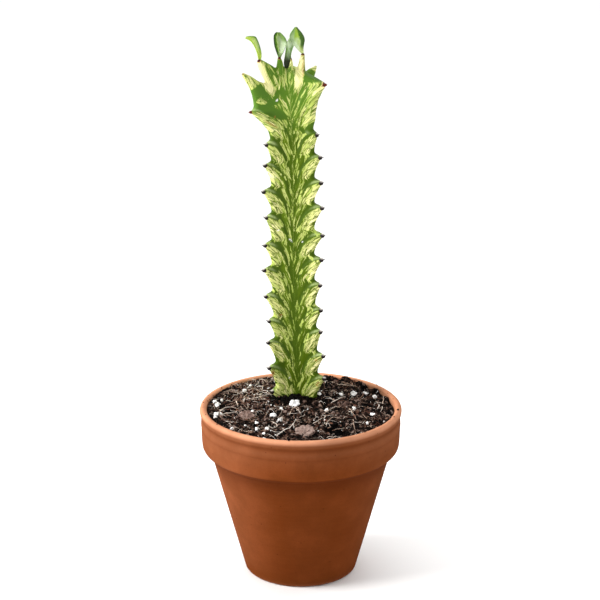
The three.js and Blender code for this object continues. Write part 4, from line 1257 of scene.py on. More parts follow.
# Hollows where the mix takes a painted shadow: middle, radius and how far it has sunk. The first ones lie in
# front of the stem's foot.
SHADOWED_HOLLOWS = [
    ((-13, 9), 6.5, 0.4),
    ((-4, 7), 7.5, 0.4),
    ((5, 9), 6, 0.4),
    ((13, 13.5), 4.5, 0.8),
    ((18, -26), 7, 1.6),
    ((37, 8), 4.5, 1.4),
    ((-41, 1), 3.5, 1),
    ((-16, -25), 2.5, 0.8),
    ((-38, -7.5), 3, 1.2),
]

# Heaps of crumbs, pushed up against the far wall and round the stem's foot: middle, radius and height.
HEAPS = [
    ((26, 41.5), 4.6, 3.4),
    ((16, 47), 6, 2.2),
    ((34, 37), 6, 2.6),
    ((42, 27.5), 5, 2.4),
    ((48, 16), 4, 1.8),
    ((-2.5, 10), 16, 2),
]


def noise_table(seed):
    return np.random.RandomState(seed).uniform(-1, 1, (64, 64))


def value_noise(table, x, y):
    """Smooth noise from -1 to 1, one cell for each unit."""
    size = len(table)
    i, j = np.floor(x).astype(int), np.floor(y).astype(int)
    u, v = fade(x - i, 0, 1), fade(y - j, 0, 1)
    left, right, below, above = i % size, (i + 1) % size, j % size, (j + 1) % size
    low = table[left, below] * (1 - u) + table[right, below] * u
    high = table[left, above] * (1 - u) + table[right, above] * u
    return low * (1 - v) + high * v


def ground_raster():
    """Heights of the CAD mix on a raster of whole millimetres, its hole and sockets smoothed over."""
    tree = BVHTree.FromObject(NODES["soil"], bpy.context.evaluated_depsgraph_get())
    spots = np.arange(-GROUND_HALF, GROUND_HALF + 1)
    raster = np.full((len(spots), len(spots)), np.nan)
    for i, x in enumerate(spots):
        for j, y in enumerate(spots):
            hit = tree.ray_cast(Vector((x * MM, y * MM, ABOVE_GROUND * MM)), Vector((0, 0, -1)))[0]
            if hit and hit.z / MM > GROUND_LOW:
                raster[i, j] = hit.z / MM
    for name in NODES:
        if name.startswith(("perlite", "bark_chip")):
            low, high = node_box(name)
            x_in = (spots > low[0] - 1) & (spots < high[0] + 1)
            y_in = (spots > low[1] - 1) & (spots < high[1] + 1)
            raster[np.ix_(x_in, y_in)] = np.nan
    known = ~np.isnan(raster)
    raster[~known] = raster[known].mean()
    for _ in range(GROUND_SMOOTHINGS):
        around = sum(np.roll(raster, step, axis) for axis in (0, 1) for step in (1, -1)) / 4
        raster[~known] = around[~known]
    return raster


def ground(x, y):
    """Height of the mix's ground at places in millimetres."""
    u, v = (np.clip(np.asarray(spot, float) + GROUND_HALF, 0, 2 * GROUND_HALF - 1e-6) for spot in (x, y))
    i, j = u.astype(int), v.astype(int)
    a, b = u - i, v - j
    low = RASTER[i, j] * (1 - a) + RASTER[i + 1, j] * a
    high = RASTER[i, j + 1] * (1 - a) + RASTER[i + 1, j + 1] * a
    return low * (1 - b) + high * b


def sunk_and_shadowed(x, y):
    """How much painted shadow a place on the mix takes, 1 in the middle of a hollow, and how far it has
    sunk.
    """
    share = depth = np.zeros(np.shape(x))
    for (middle_x, middle_y), radius, fall in SHADOWED_HOLLOWS:
        here = 1 - fade(np.hypot(x - middle_x, y - middle_y), 0.3 * radius, radius)
        share = np.maximum(share, here)
        depth = np.maximum(depth, here * fall)
    return share, depth


def heaped(x, y):
    """How far the heaps stand over the mix's ground."""
    height = np.zeros(np.shape(x))
    for (middle_x, middle_y), radius, top in HEAPS:
        away = np.hypot((x - middle_x) * 0.8, y - middle_y)
        height = np.maximum(height, top * (1 - fade(away, 0.1 * radius, radius)))
    return height


def soil_lumps(x, y):
    """Height and shade of the crumbs that are part of the ground: a dome round each of many seeds."""
    luck = np.random.RandomState(SEED)
    radius = BRIM * np.sqrt(luck.uniform(0, 1, CRUMB_SEEDS))
    angle = luck.uniform(0, 2 * math.pi, CRUMB_SEEDS)
    sizes = luck.uniform(0.36, 1.05, CRUMB_SEEDS) ** 1.3
    lifts = luck.uniform(-0.9, 0.7, CRUMB_SEEDS)
    shades = luck.uniform(0, 1, CRUMB_SEEDS) ** 1.25
    tree = KDTree(CRUMB_SEEDS)
    for k, (seed_x, seed_y) in enumerate(zip(radius * np.cos(angle), radius * np.sin(angle))):
        tree.insert((seed_x, seed_y, 0), k)
    tree.balance()
    heights, shade = np.full(len(x), -9.0), np.empty(len(x))
    for k in range(len(x)):
        for _, index, distance in tree.find_n((x[k], y[k], 0), 4):
            dome = sizes[index] ** 2 - distance**2
            top = lifts[index] + (math.sqrt(dome) if dome > 0 else -1.1)
            if top > heights[k]:
                heights[k] = top
                shade[k] = shades[index]
    return heights * 0.85 - 0.5, shade


def make_soil():
    """A grid pressed into a disc, raised into crumbs, with its rim drawn down inside the pot."""
    soil = new_shape(
        bpy.ops.mesh.primitive_grid_add,
        "potting_mix",
        x_subdivisions=SOIL_GRID,
        y_subdivisions=SOIL_GRID,
        size=2,
    )
    across, along, _ = point_rows(soil).T
    x = BRIM * across * np.sqrt(1 - along**2 / 2)
    y = BRIM * along * np.sqrt(1 - across**2 / 2)
    away = np.hypot(x, y)
    lumps, shade = soil_lumps(x, y)
    fine = 0.2 * value_noise(noise_table(5), x / 0.8 + 70, y / 0.8 + 70)
    broad = 0.9 * value_noise(noise_table(6), x / 3.4 + 40, y / 4.4 + 40)
    calm = 1 - 0.6 * fade(away, 48, BRIM)
    hollow, depth = sunk_and_shadowed(x, y)
    z = ground(x, y) + (lumps + fine + np.minimum(broad, 0.2)) * calm - depth + heaped(x, y)
    move_points(soil, np.stack([x, y, z], axis=1))
    # Painted shade: darker in the dips of the broad noise and near the pot's wall, and painted shadow in the
    # hollows.
    deep = (1 - 0.55 * fade(-broad, 0.15, 0.7)) * (1 - 0.4 * fade(away, 46, 50))
    give_attribute(soil, "shade", shade * deep * (1 - 0.92 * hollow))
    with editing(soil):
        bpy.ops.mesh.region_to_loop()
        for drop, ratio in SIDE_STEPS:
            bpy.ops.mesh.extrude_region_move(TRANSFORM_OT_translate={"value": (0, 0, -drop * MM)})
            bpy.ops.transform.resize(value=(ratio, ratio, 1), center_override=(0, 0, 0))
        bpy.ops.transform.resize(value=(1, 1, 0), center_override=(0, 0, MIX_FLOOR * MM))
        bpy.ops.mesh.edge_face_add()
        bpy.ops.mesh.select_all(action="SELECT")
        bpy.ops.mesh.normals_make_consistent(inside=False)
    finish_piece(soil, soil_material(), "potting_mix", "soil", sharp_degrees=50)


def soil_material():
    """Moist potting mix of peat and composted bark: near black where wet, brown and grey-brown where crumbs
    have dried, dull with a few damp glints. Painted shade darkens it in its dips, along the pot's wall and
    in its hollows."""
    material, add = new_material("peat_and_bark_mix_moist")
    place = add("TexCoord", out="Object")
    mottle = add("TexNoise", {"Vector": place, "Scale": per_mm(0.7), "Detail": 4, "Roughness": 0.75})
    browns = [(0.24, "040201"), (0.42, "0f0806"), (0.54, "25170f"), (0.66, "49352c"), (0.8, "8a756b")]
    gloss = {"Value": mottle, "From Min": 0.35, "From Max": 0.65, "To Min": 0.55, "To Max": 0.95}
    return shaded(
        material,
        Base_Color=shade_ramp(add, mottle, 0.4, browns),
        Normal=add("Bump", {"Height": mottle, "Strength": 0.8, "Distance": 0.5 * MM}),
        Roughness=add("MapRange", gloss),
        Specular_IOR_Level=0.06,
    )


# Loose bits on the mix

LUMP_KINDS = 6
LUMP_COUNT = 2600
SHRED_COUNT = 150
RIM_SPECKS = 46
# The largest speck on the lip: its angle, its distance from the axis and its size.
LARGE_SPECK = (math.radians(-9), 53.2, 0.75)


def model_lump(seed):
    """One crumb: a cube cut once, rounded and knocked out of shape."""
    lump = new_shape(bpy.ops.mesh.primitive_cube_add, "lump", size=2)
    with editing(lump):
        bpy.ops.mesh.subdivide(number_cuts=1)
        bpy.ops.transform.tosphere(value=0.55)
    points, faces = taken_apart(lump)
    knocks = np.random.RandomState(seed).uniform(0.5, 1.2, (len(points), 1))
    return points * knocks / 1.4, faces


def turns(luck):
    """A random turn in space, as a matrix."""
    axis, spin = luck.normal(size=3), luck.uniform(0, 2 * math.pi)
    axis /= np.linalg.norm(axis)
    k = np.array([[0, -axis[2], axis[1]], [axis[2], 0, -axis[0]], [-axis[1], axis[0], 0]])
    return np.eye(3) + math.sin(spin) * k + (1 - math.cos(spin)) * k @ k


def lying(luck, tilt):
    """A random turn about the upright, with a tilt of up to so many degrees."""
    yaw, lean = luck.uniform(0, 2 * math.pi), math.radians(luck.uniform(-tilt, tilt))
    spin = np.array([[math.cos(yaw), -math.sin(yaw), 0], [math.sin(yaw), math.cos(yaw), 0], [0, 0, 1]])
    rock = np.array([[1, 0, 0], [0, math.cos(lean), -math.sin(lean)], [0, math.sin(lean), math.cos(lean)]])
    return spin @ rock


def laid_bit(kind, size, turn, place, shade):
    """A copy of a kind, sized on three axes, turned and laid in its place, with its shade."""
    points, faces = kind
    return (points * size) @ turn.T + place, faces, shade


def mesh_of_bits(name, bits):
    """One mesh of many bits, each given as its points, its faces and its shade."""
    obj = mesh_of(name, [(points, faces) for points, faces, _ in bits])
    give_attribute(obj, "shade", np.repeat([shade for *_, shade in bits], [len(bit[0]) for bit in bits]))
    return obj


def clear_of_stem(x, y):
    """Whether a place on the mix lies outside the stem's foot."""
    x, y = x - STEM_X, y - STEM_Y
    angle = math.degrees(math.atan2(y, x))
    nearest = min(abs((angle - rib + 180) % 360 - 180) for rib in RIB_ANGLES)
    return math.hypot(x, y) > 15 - 8 * min(nearest / 60, 1)


def random_spot(luck, limit):
    """A random place on the mix, clear of the stem."""
    while True:
        radius, angle = limit * math.sqrt(luck.uniform(0, 1)), luck.uniform(0, 2 * math.pi)
        x, y = radius * math.cos(angle), radius * math.sin(angle)
        if clear_of_stem(x, y):
            return x, y


def lip_height(radius):
    """Height of the pot's lip at a distance from the axis."""
    away = radius - (RIM_RADIUS - LIP_RADIUS)
    return POT_HEIGHT - LIP_RADIUS + math.sqrt(max(LIP_RADIUS**2 - away**2, 0))


def make_crumbs():
    """Loose crumbs on the mix and on the heaps, and dark specks that lie on the pot's lip."""
    kinds = [model_lump(60 + k) for k in range(LUMP_KINDS)]
    luck = np.random.RandomState(SEED + 1)
    bits = []
    for _ in range(LUMP_COUNT):
        x, y = random_spot(luck, BRIM - 0.8)
        size = 0.28 + 0.75 * luck.uniform() ** 2.4
        stretch = np.array([luck.uniform(0.8, 2.1), luck.uniform(0.6, 1.1), luck.uniform(0.4, 0.9)])
        hollow, depth = sunk_and_shadowed(x, y)
        z = float(ground(x, y) + heaped(x, y) - depth) + luck.uniform(-0.2, 0.5)
        # Crumbs in a hollow take its painted shadow.
        shade = luck.uniform() ** 1.2 * (1 - 0.92 * float(hollow))
        kind = kinds[luck.randint(LUMP_KINDS)]
        bits.append(laid_bit(kind, size * stretch, turns(luck), (x, y, z), shade))
    for number in range(RIM_SPECKS):
        angle = luck.uniform(0, 2 * math.pi)
        radius = RIM_RADIUS - 2 * LIP_RADIUS + luck.uniform(0.2, 1.9) ** 1.3
        size = luck.uniform(0.14, 0.42)
        if number == 0:
            angle, radius, size = LARGE_SPECK
        spot = (radius * math.cos(angle), radius * math.sin(angle), lip_height(radius) + 0.3 * size)
        kind = kinds[luck.randint(LUMP_KINDS)]
        bits.append(laid_bit(kind, size, turns(luck), spot, 0.25))
    finish_piece(mesh_of_bits("peat_crumbs", bits), soil_material(), "potting_mix", sharp_degrees=40)


def make_shreds():
    """Small flat shreds of bark that lie about between the crumbs."""
    kinds = [model_lump(80 + k) for k in range(LUMP_KINDS)]
    luck = np.random.RandomState(SEED + 4)
    bits = []
    for _ in range(SHRED_COUNT):
        x, y = random_spot(luck, BRIM - 2)
        length = 0.7 + 1.1 * luck.uniform() ** 2
        stretch = length * np.array([1, luck.uniform(0.25, 0.6), luck.uniform(0.1, 0.22)])
        z = float(ground(x, y)) + float(heaped(x, y)) + luck.uniform(0.1, 0.6)
        shade = luck.uniform(0, 1)
        kind = kinds[luck.randint(LUMP_KINDS)]
        bits.append(laid_bit(kind, stretch, lying(luck, 50), (x, y, z), shade))
    finish_piece(mesh_of_bits("bark_shreds", bits), shred_material(), "bark", sharp_degrees=35)


def shred_material():
    """Bark fines: thin, dull splinters of red-brown inner bark, some of them bleached to tan."""
    material, add = new_material("bark_fines_red_brown")
    place = add("TexCoord", out="Object")
    mottle = add("TexNoise", {"Vector": place, "Scale": per_mm(1), "Detail": 3, "Roughness": 0.6})
    browns = [(0.15, "1f0f0a"), (0.4, "4c2a1f"), (0.65, "75513f"), (0.9, "ab8d78")]
    colour = shade_ramp(add, mottle, 0.3, browns)
    return shaded(material, Base_Color=colour, Roughness=0.85, Specular_IOR_Level=0.15)


# Fine roots that show on the mix: a line of places with the height above the mix, the thickness
# and how pale each one is.
ROOTLETS = [
    ([(-43.9, -8.9, 0.4), (-43.2, -5.9, 0.9), (-39.6, -3.6, 1.3), (-33.3, -4.5, 0.6)], 0.3, 0.86),
    ([(-43.9, -7.5, 0.6), (-42.2, -10.8, 0.8), (-38, -10.6, 1.1), (-33.2, -8.4, 0.5)], 0.3, 0.9),
    ([(-35.2, 2.2, 2.2), (-34.9, 0.6, 1.5), (-34.2, -2.1, 0.6)], 0.42, 0.86),
    (
        [(-25.5, 31.6, 0.4), (-23.8, 36.1, 0.9), (-22.3, 40.2, 1.2), (-21.4, 36.1, 0.9), (-22.1, 31.5, 0.4)],
        0.24,
        0.8,
    ),
    ([(-22.3, 41.2, 0.8), (-19.7, 37.1, 1), (-17.8, 35.3, 0.4)], 0.24, 0.75),
    ([(-22.5, 22.5, 0.4), (-19.4, 20.7, 1.1), (-16.2, 16.2, 0.5)], 0.24, 0.95),
    ([(-26.5, 11.6, 0.4), (-22.9, 11.4, 0.9), (-19.2, 13.2, 1), (-15.2, 16, 0.6)], 0.26, 0.9),
    ([(-21.2, 18.9, 0.5), (-18.7, 16.8, 1.1), (-15.5, 13.7, 0.5)], 0.22, 0.95),
    ([(-33.9, 19, 0.6), (-32.7, 12.8, 0.9), (-33.3, 7.2, 1), (-30.8, 1.8, 0.5)], 0.28, 0.5),
    ([(-31.3, 11.2, 0.5), (-29.9, 16, 0.9), (-27.7, 18.5, 0.9), (-26.2, 25.2, 0.4)], 0.24, 0.75),
    ([(-41.1, 8.2, 0.6), (-39.2, 8.4, 0.9), (-37.4, 7.7, 0.6)], 0.24, 0.9),
    (
        [(-12.6, -39.9, 0.4), (-9.5, -35.4, 0.9), (-6, -32.2, 1.4), (-4.1, -28, 1.9), (-2.6, -20.7, 2.2)],
        0.4,
        1,
    ),
    ([(-4.1, -28, 1.9), (-3.5, -31.4, 0.6)], 0.26, 0.9),
    ([(-6.2, -13.2, 0.5), (-4.5, -7, 1), (-2.5, -5, 1.2), (-0.2, -8.2, 0.6)], 0.32, 0.75),
    (
        [(-15, -22, 0.9), (-12.6, -25, 0.9), (-12.8, -29.6, 0.7), (-15.3, -31.2, 0.7), (-17.4, -28.4, 0.8)],
        0.28,
        0.9,
    ),
    ([(-28.7, -36.3, 0.5), (-27, -35, 0.8), (-25.3, -33.4, 0.5)], 0.26, 0.85),
    ([(-2.8, -5.8, 0.5), (-1.4, -8.6, 0.9), (-0.1, -11.6, 0.5)], 0.3, 0.75),
    ([(6.4, -23.1, 0.5), (9.4, -20.4, 1.3), (11.8, -17.4, 1.5)], 0.32, 0.9),
    ([(11.9, -11.6, 0.5), (15, -5.6, 1.3), (18.7, -1.2, 1.5), (21.9, 1.8, 1)], 0.28, 0.75),
    ([(16.7, 4.6, 0.7), (21.1, 9.4, 1.6), (24.7, 13.6, 1.8)], 0.34, 0.92),
    ([(26.4, -2.4, 1), (28.2, -9.5, 0.9), (29.9, -16.5, 0.5)], 0.28, 0.78),
    ([(31.3, 12, 0.6), (33.9, 18.4, 1.1), (35.5, 22.4, 0.9)], 0.34, 0.55),
    ([(43, 5.4, 1.4), (42.4, 2.2, 1), (41.5, -0.7, 0.4)], 0.3, 1),
    ([(44.6, 2.4, 1.4), (44.1, -0.6, 1), (43.4, -3.1, 0.4)], 0.28, 0.95),
    ([(45, 7, 1), (45.6, 13, 1.6), (46, 18, 1.6)], 0.26, 0.8),
    ([(28, -16.2, 0.5), (28.4, -25, 0.9), (28.9, -32, 0.4)], 0.24, 0.7),
    ([(13.6, -40.5, 0.7), (16.8, -39.6, 1), (20.5, -38.2, 0.7)], 0.26, 0.9),
    ([(12.9, -23.1, 0.6), (17.5, -17, 1.4), (22.3, -17.9, 0.7)], 0.26, 0.75),
    ([(23, 37.5, 1.4), (28.3, 34.4, 1.9), (33.6, 30.2, 1)], 0.3, 0.62),
    ([(20.6, 35.4, 1), (26.4, 33, 1.6), (31, 33.8, 1.4)], 0.26, 0.8),
    ([(27.4, 40.6, 1.6), (30.4, 39.4, 2.6), (34, 37.4, 2.8), (36.6, 35.2, 1.7)], 0.44, 0.4),
    ([(28, 38.4, 1.2), (31, 36.4, 1.1), (33.6, 36, 1.6), (35.2, 34.6, 0.8)], 0.4, 0.48),
    ([(30, 38.8, 2.8), (31.4, 38.4, 1.2), (33.4, 37, 0.9), (35, 36.6, 2.6)], 0.4, 0.42),
    ([(20.5, 40.2, 1.4), (23.4, 40.2, 2.9), (26.6, 39.6, 2.2)], 0.4, 0.36),
]
# A rootlet's radius as a share of its thickness.
RADIUS_SHARE = 0.64
FIBRE_COUNT = 1150
FIBRE_STEPS = 11
FIBRE_SIDES = 4
FIBRE_SEAT = 0.35
LEFT_TANGLE = {"share": 0.4, "middle": (-28, 18), "spread": (11, 16)}


def tube(path, radii, sides):
    """A closed tube round a path, with its two end poles last."""
    tangents = np.gradient(path, axis=0)
    tangents /= np.linalg.norm(tangents, axis=1)[:, None]
    aside = np.cross(tangents, [0, 0, 1.0])
    aside /= np.maximum(np.linalg.norm(aside, axis=1), 1e-6)[:, None]
    over = np.cross(aside, tangents)
    angles = -np.arange(sides) * 2 * math.pi / sides
    ring = np.cos(angles)[None, :, None] * aside[:, None] + np.sin(angles)[None, :, None] * over[:, None]
    points = path[:, None] + radii[:, None, None] * ring
    return np.vstack([points.reshape(-1, 3), path[:1], path[-1:]]), stack_faces(len(path), sides)


def fibre_path(luck, x, y, length, arch):
    """A thin root that wanders over the mix from a place, and may arch clear of it."""
    heading = luck.uniform(0, 2 * math.pi)
    bend = luck.normal(0, 1.6) / FIBRE_STEPS
    path = []
    for step in range(FIBRE_STEPS):
        share = step / (FIBRE_STEPS - 1)
        path.append((x, y, float(ground(x, y)) + FIBRE_SEAT + arch * math.sin(math.pi * share)))
        heading += bend + luck.normal(0, 0.28)
        x += math.cos(heading) * length / FIBRE_STEPS
        y += math.sin(heading) * length / FIBRE_STEPS
        if math.hypot(x, y) > BRIM - 1:
            heading += 1.2
    return np.array(path)


def fibre_spot(luck):
    """A place for a fibre: anywhere on the mix, or in the tangle on its left."""
    if luck.uniform() < LEFT_TANGLE["share"]:
        x, y = luck.normal(LEFT_TANGLE["middle"], LEFT_TANGLE["spread"])
        if math.hypot(x, y) < BRIM - 3 and clear_of_stem(x, y):
            return x, y
    return random_spot(luck, BRIM - 3)


def make_fibres():
    luck = np.random.RandomState(SEED + 2)
    paths = []
    for marks, thickness, shade in ROOTLETS:
        spots = smooth_line(marks, FIBRE_STEPS)
        spots[1:-1] += luck.normal(0, 0.16, (FIBRE_STEPS - 2, 3))
        spots[:, 2] += ground(spots[:, 0], spots[:, 1])
        paths.append((spots, RADIUS_SHARE * thickness, shade))
    for _ in range(FIBRE_COUNT):
        x, y = fibre_spot(luck)
        length = 1.6 + 8.5 * luck.uniform() ** 2.4
        path = fibre_path(luck, x, y, length, 1.8 * luck.uniform() ** 3)
        if sunk_and_shadowed(x, y)[0] < 0.5:
            paths.append((path, luck.uniform(0.055, 0.125), luck.uniform(0.15, 1.1)))
    taper = 1 - 0.6 * np.linspace(0, 1, FIBRE_STEPS)
    bits = [(*tube(path, radius * taper, FIBRE_SIDES), shade) for path, radius, shade in paths]
    finish_piece(mesh_of_bits("root_fibres", bits), fibre_material(), "bark")


def fibre_material():
    """Dead rootlets and coir: thin, dry plant fibre, tan to dark brown, with a weak silky shine."""
    material, add = new_material("rootlet_dry_fibre")
    place = add("TexCoord", out="Object")
    mottle = add("TexNoise", {"Vector": place, "Scale": per_mm(1.5), "Detail": 2, "Roughness": 0.6})
    tans = [(0.15, "23120b"), (0.42, "6e4230"), (0.58, "a07d66"), (0.72, "d8c0aa"), (0.86, "fbf3e8")]
    colour = shade_ramp(add, mottle, 0.3, tans)
    return shaded(material, Base_Color=colour, Roughness=0.6, Specular_IOR_Level=0.2)


# Perlite: the larger grains take their place and size from the CAD, the smaller ones lie between them

# Place and size of the smaller grains that show.
SMALL_GRAINS = [(-28.3, 29.7, 2.2), (42.2, 25.9, 3), (-45.8, -12.5, 4), (-42.8, -11, 2.6), (-46, -17, 2.8)]
SMALL_GRAINS += [(-46.9, 5.6, 3.4), (-43.4, 7.6, 2.4), (4.7, 3.7, 1.7), (35.6, -20.7, 2.2)]
SMALL_GRAINS += [(-23.5, -23.5, 2.4), (-29.3, -26.9, 1.8), (-36.3, -33, 2.7), (-23.3, -31.7, 3)]
SMALL_GRAINS += [(-17.7, -32.7, 2.7), (-19.4, -38.3, 2.1), (-18.9, -46, 3), (6.6, -47.6, 2.4)]
SMALL_GRAINS += [(12.2, -45.4, 2.4), (-26.1, -8.1, 2.1), (12.8, -18.2, 1.5)]
GRAIN_KINDS = 5
SPECK_COUNT = 70
BREAKS = 7
BUBBLES = 9
SOLID_CORE = 0.4


def burst(directions, luck, bubbles):
    """Distance to a popped grain's skin in each direction: bubbles grown together, with creases between them
    and flat faces where it broke."""
    middles = luck.normal(size=(bubbles, 3))
    middles *= (luck.uniform(0.42, 0.66, bubbles) / np.linalg.norm(middles, axis=1))[:, None]
    radii = luck.uniform(0.24, 0.46, bubbles)
    reach = directions @ middles.T
    inside = radii**2 - (middles**2).sum(axis=1) + reach**2
    skin = np.where((inside > 0) & (reach > 0), reach + np.sqrt(np.maximum(inside, 0)), SOLID_CORE)
    breaks = luck.normal(size=(BREAKS, 3))
    breaks /= np.linalg.norm(breaks, axis=1)[:, None]
    flat = luck.uniform(0.5, 0.8, BREAKS) / np.maximum(directions @ breaks.T, 0.05)
    return np.minimum(np.maximum(skin.max(axis=1), SOLID_CORE), flat.min(axis=1))


def make_grain(name, number):
    """A larger grain: it fills the box of its CAD solid and stands a little higher."""
    grain = merged_copy(name, f"{name}_burst")
    apply_modifier(grain, "SUBSURF", levels=3, render_levels=3)
    low, high = node_box(name)
    middle = (low + high) / 2
    points = places(grain) - middle
    directions = points / np.linalg.norm(points, axis=1)[:, None]
    bubbles = BUBBLES + int(1.6 * (high - low).max())
    points = directions * burst(directions, np.random.RandomState(300 + number), bubbles)[:, None]
    extent = np.abs(points).max(axis=0)
    points *= ((high - low) / 2 / extent) * 1.04
    middle[2] += 0.14 * (high - low).max()
    move_points(grain, points + middle)
    finish_piece(grain, PERLITE, "perlite", name, sharp_degrees=38)


def make_small_perlite():
    ball = new_shape(bpy.ops.mesh.primitive_ico_sphere_add, "ball", subdivisions=3, radius=1)
    directions, faces = taken_apart(ball)
    directions /= np.linalg.norm(directions, axis=1)[:, None]
    reaches = [burst(directions, np.random.RandomState(400 + k), BUBBLES) for k in range(GRAIN_KINDS)]
    luck = np.random.RandomState(SEED + 3)
    spots = list(SMALL_GRAINS)
    spots += [(*random_spot(luck, BRIM - 2), 0.5 + 0.8 * luck.uniform() ** 2) for _ in range(SPECK_COUNT)]
    bits = []
    for x, y, size in spots:
        stretch = np.array([1, luck.uniform(0.7, 1), luck.uniform(0.6, 0.85)]) * size / 2
        z = float(ground(x, y)) + 0.3 + 0.2 * size
        kind = (directions * reaches[luck.randint(GRAIN_KINDS)][:, None], faces)
        bits.append(laid_bit(kind, 1.15 * stretch, turns(luck), (x, y, z), 1))
    finish_piece(mesh_of_bits("perlite_crumbs", bits), PERLITE, "perlite", sharp_degrees=38)


def perlite_material():
    """Expanded perlite: volcanic glass popped by heat. Chalk white, crisp, matt, with grey burst pores."""
    material, add = new_material("perlite_expanded_glass")
    place = add("TexCoord", out="Object")
    pores = add("TexVoronoi", {"Vector": place, "Scale": per_mm(0.7)})
    soot = add("TexNoise", {"Vector": place, "Scale": per_mm(1.8), "Detail": 3, "Roughness": 0.6})
    colour = add("ValToRGB", {"Fac": soot}, [(0.3, "c6beb5"), (0.42, "eeebe6"), (0.6, "faf9f7")])
    relief = add("Bump", {"Height": pores, "Strength": 0.6, "Distance": 0.25 * MM})
    return shaded(material, Base_Color=colour, Normal=relief, Roughness=0.85)


# Bark chips, from the CAD solids: knocked into flakes with a split, layered face

# Each chip's dryness, and its outline from its middle as the plant's open face shows it: millimetres right
# and up.
CHIP_1 = [(-4.6, -0.3), (-2.7, 3.2), (1.4, 2.5), (4.1, -0.2), (1.4, -1.5), (-2.2, -2)]
CHIP_2 = [(-6.5, -0.6), (-4.7, 1.5), (-1.1, 3), (3.1, 3.7), (4.6, 2.7), (6.8, 0.3), (5.5, -1.5), (1.6, -3.4)]
CHIP_2 += [(-3.5, -2.4)]
CHIP_3 = [(-2.4, -1.9), (2.8, 1.3), (3.2, -0.6), (1.4, -2.7), (-0.4, -3.7)]
CHIPS = {"bark_chip_1": (0.45, CHIP_1), "bark_chip_2": (0.7, CHIP_2), "bark_chip_3": (0.05, CHIP_3)}


def cut_outline(chip, middle, outline):
    """Splits off what lies outside an outline, with straight cuts that run into the picture."""
    down = math.radians(CAMERA["looks_down"])
    right, up = Vector((1, 0, 0)), Vector((0, math.sin(down), math.cos(down)))
    with editing(chip):
        for (x, z), (next_x, next_z) in zip(outline, outline[1:] + outline[:1]):
            bpy.ops.mesh.select_all(action="SELECT")
            bpy.ops.mesh.bisect(
                plane_co=(middle + right * x + up * z) * MM,
                plane_no=(right * (z - next_z) + up * (next_x - x)).normalized(),
                use_fill=True,
                clear_outer=True,
            )


def make_chip(name, number):
    chip = merged_copy(name, f"{name}_flaked")
    low, high = node_box(name)
    middle = (low + high) / 2
    dryness, outline = CHIPS[name]
    cut_outline(chip, Vector(middle), outline)
    apply_modifier(chip, "REMESH", mode="VOXEL", voxel_size=0.2 * MM)
    apply_modifier(chip, "SMOOTH", factor=0.5, iterations=1)
    points = places(chip)
    x, y, z = points.T
    tables = [noise_table(700 + number), noise_table(720 + number)]
    broad = value_noise(tables[0], x / 1.3 + 50, (y + z) / 1.1 + 50)
    fine = value_noise(tables[1], x / 0.7 + 90, (y + z) / 0.5 + 90)
    # Split layers end in small steps, and the edge is torn.
    depth = 0.4 * np.round(2.5 * broad) / 2.5 + 0.2 * fine
    spread = points - middle
    angle = np.arctan2(spread[:, 1], spread[:, 0])
    torn = value_noise(tables[0], 2.2 * np.cos(angle) + 20, 2.2 * np.sin(angle) + 20)
    torn += 0.6 * value_noise(tables[1], 5 * np.cos(angle) + 30, 5 * np.sin(angle) + 30)
    spread *= np.array([1, 1, 0]) * (0.14 * torn - 0.05)[:, None]
    move_points(chip, points + spread + point_rows(chip, "normal") * depth[:, None])
    give_attribute(chip, "dryness", np.full(len(points), dryness))
    finish_piece(chip, BARK, "bark", name, sharp_degrees=45)


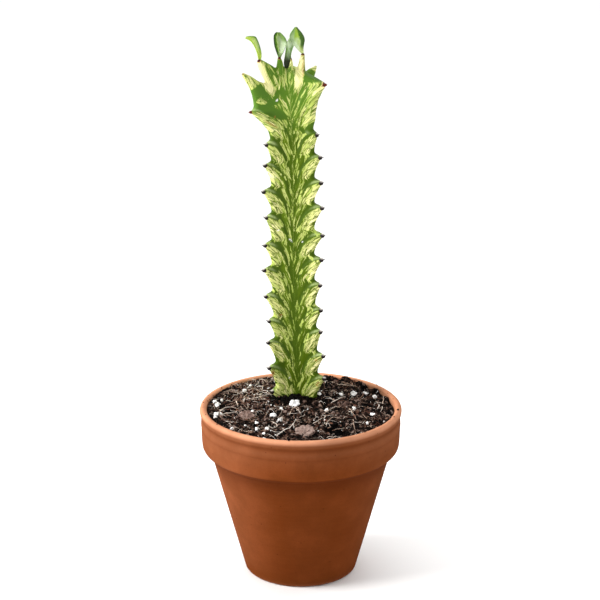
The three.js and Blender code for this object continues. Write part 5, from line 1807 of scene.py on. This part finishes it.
def bark_material():
    """Composted bark: layered, fibrous and dull, grey-brown where it has dried, dark in its splits."""
    material, add = new_material("bark_composted_flake")
    stretched = add("Mapping", {"Vector": add("TexCoord", out="Object"), "Scale": (1, 2.6, 1)})
    layers = add("TexNoise", {"Vector": stretched, "Scale": per_mm(1.6), "Detail": 5, "Roughness": 0.75})
    dryness = add("Attribute", out="Fac", attribute_name="dryness")
    mixed = add("Mix", {0: 0.22, 2: layers, 3: dryness}, **NUMBERS)
    greys = [(0.3, "251611"), (0.4, "533c33"), (0.5, "7f675d"), (0.62, "a08d83"), (0.72, "bcb0a8")]
    colour = add("ValToRGB", {"Fac": mixed}, greys)
    relief = add("Bump", {"Height": layers, "Strength": 0.7, "Distance": 0.5 * MM})
    return shaded(material, Base_Color=colour, Normal=relief, Roughness=0.85, Specular_IOR_Level=0.2)


# Floor and light

FLOOR_SIZE = 16000
# The lamps' places and sizes are in metres, and this is the height that they look at.
LAMPS_AIM = 0.15


def make_stage():
    floor = new_shape(bpy.ops.mesh.primitive_plane_add, "floor", size=FLOOR_SIZE * MM)
    material, _ = new_material("studio_paper_matt")
    floor.data.materials.append(shaded(material, Base_Color="f4f3f1", Roughness=0.95))
    world = bpy.data.worlds.new("studio")
    bpy.context.scene.world = world
    world.use_nodes = True
    fill_sockets(world.node_tree.nodes["Background"], {"Color": "f6f8fb", "Strength": 0.45})
    add_lamp("sky_soft", "SUN", (0.1, 0.4, 1), 2.4, angle=math.radians(70))
    add_lamp("window_left", "AREA", (-1, -0.18, 0.5), 23, size=0.6)
    add_lamp("front_fill", "AREA", (1, -0.85, 0.4), 7, size=0.9)


def add_lamp(name, kind, place, power, **softness):
    """A soft lamp that looks at the middle of the plant."""
    bpy.ops.object.light_add(type=kind, location=place)
    lamp = bpy.context.object
    lamp.name = name
    lamp.data.energy = power
    for key, value in softness.items():
        setattr(lamp.data, key, value)
    aim = Vector((0, 0, 0 if kind == "SUN" else LAMPS_AIM)) - Vector(place)
    lamp.rotation_euler = aim.to_track_quat("-Z", "Y").to_euler()


def make_each(start, make):
    """Makes the pieces that stand for the CAD nodes whose names start alike, by number."""
    for number, name in enumerate(sorted(node for node in NODES if node.startswith(start))):
        make(name, number)


set_camera()
make_stage()
make_pot()
make_stem()
make_thorns()
for leaf_name, leaf_shape in LEAVES.items():
    make_leaf(leaf_name, leaf_shape)

RASTER = ground_raster()
PERLITE = perlite_material()
BARK = bark_material()
make_soil()
make_crumbs()
make_shreds()
make_fibres()
make_each("perlite", make_grain)
make_small_perlite()
make_each("bark_chip", make_chip)

bpy.context.scene.view_settings.view_transform = "Standard"
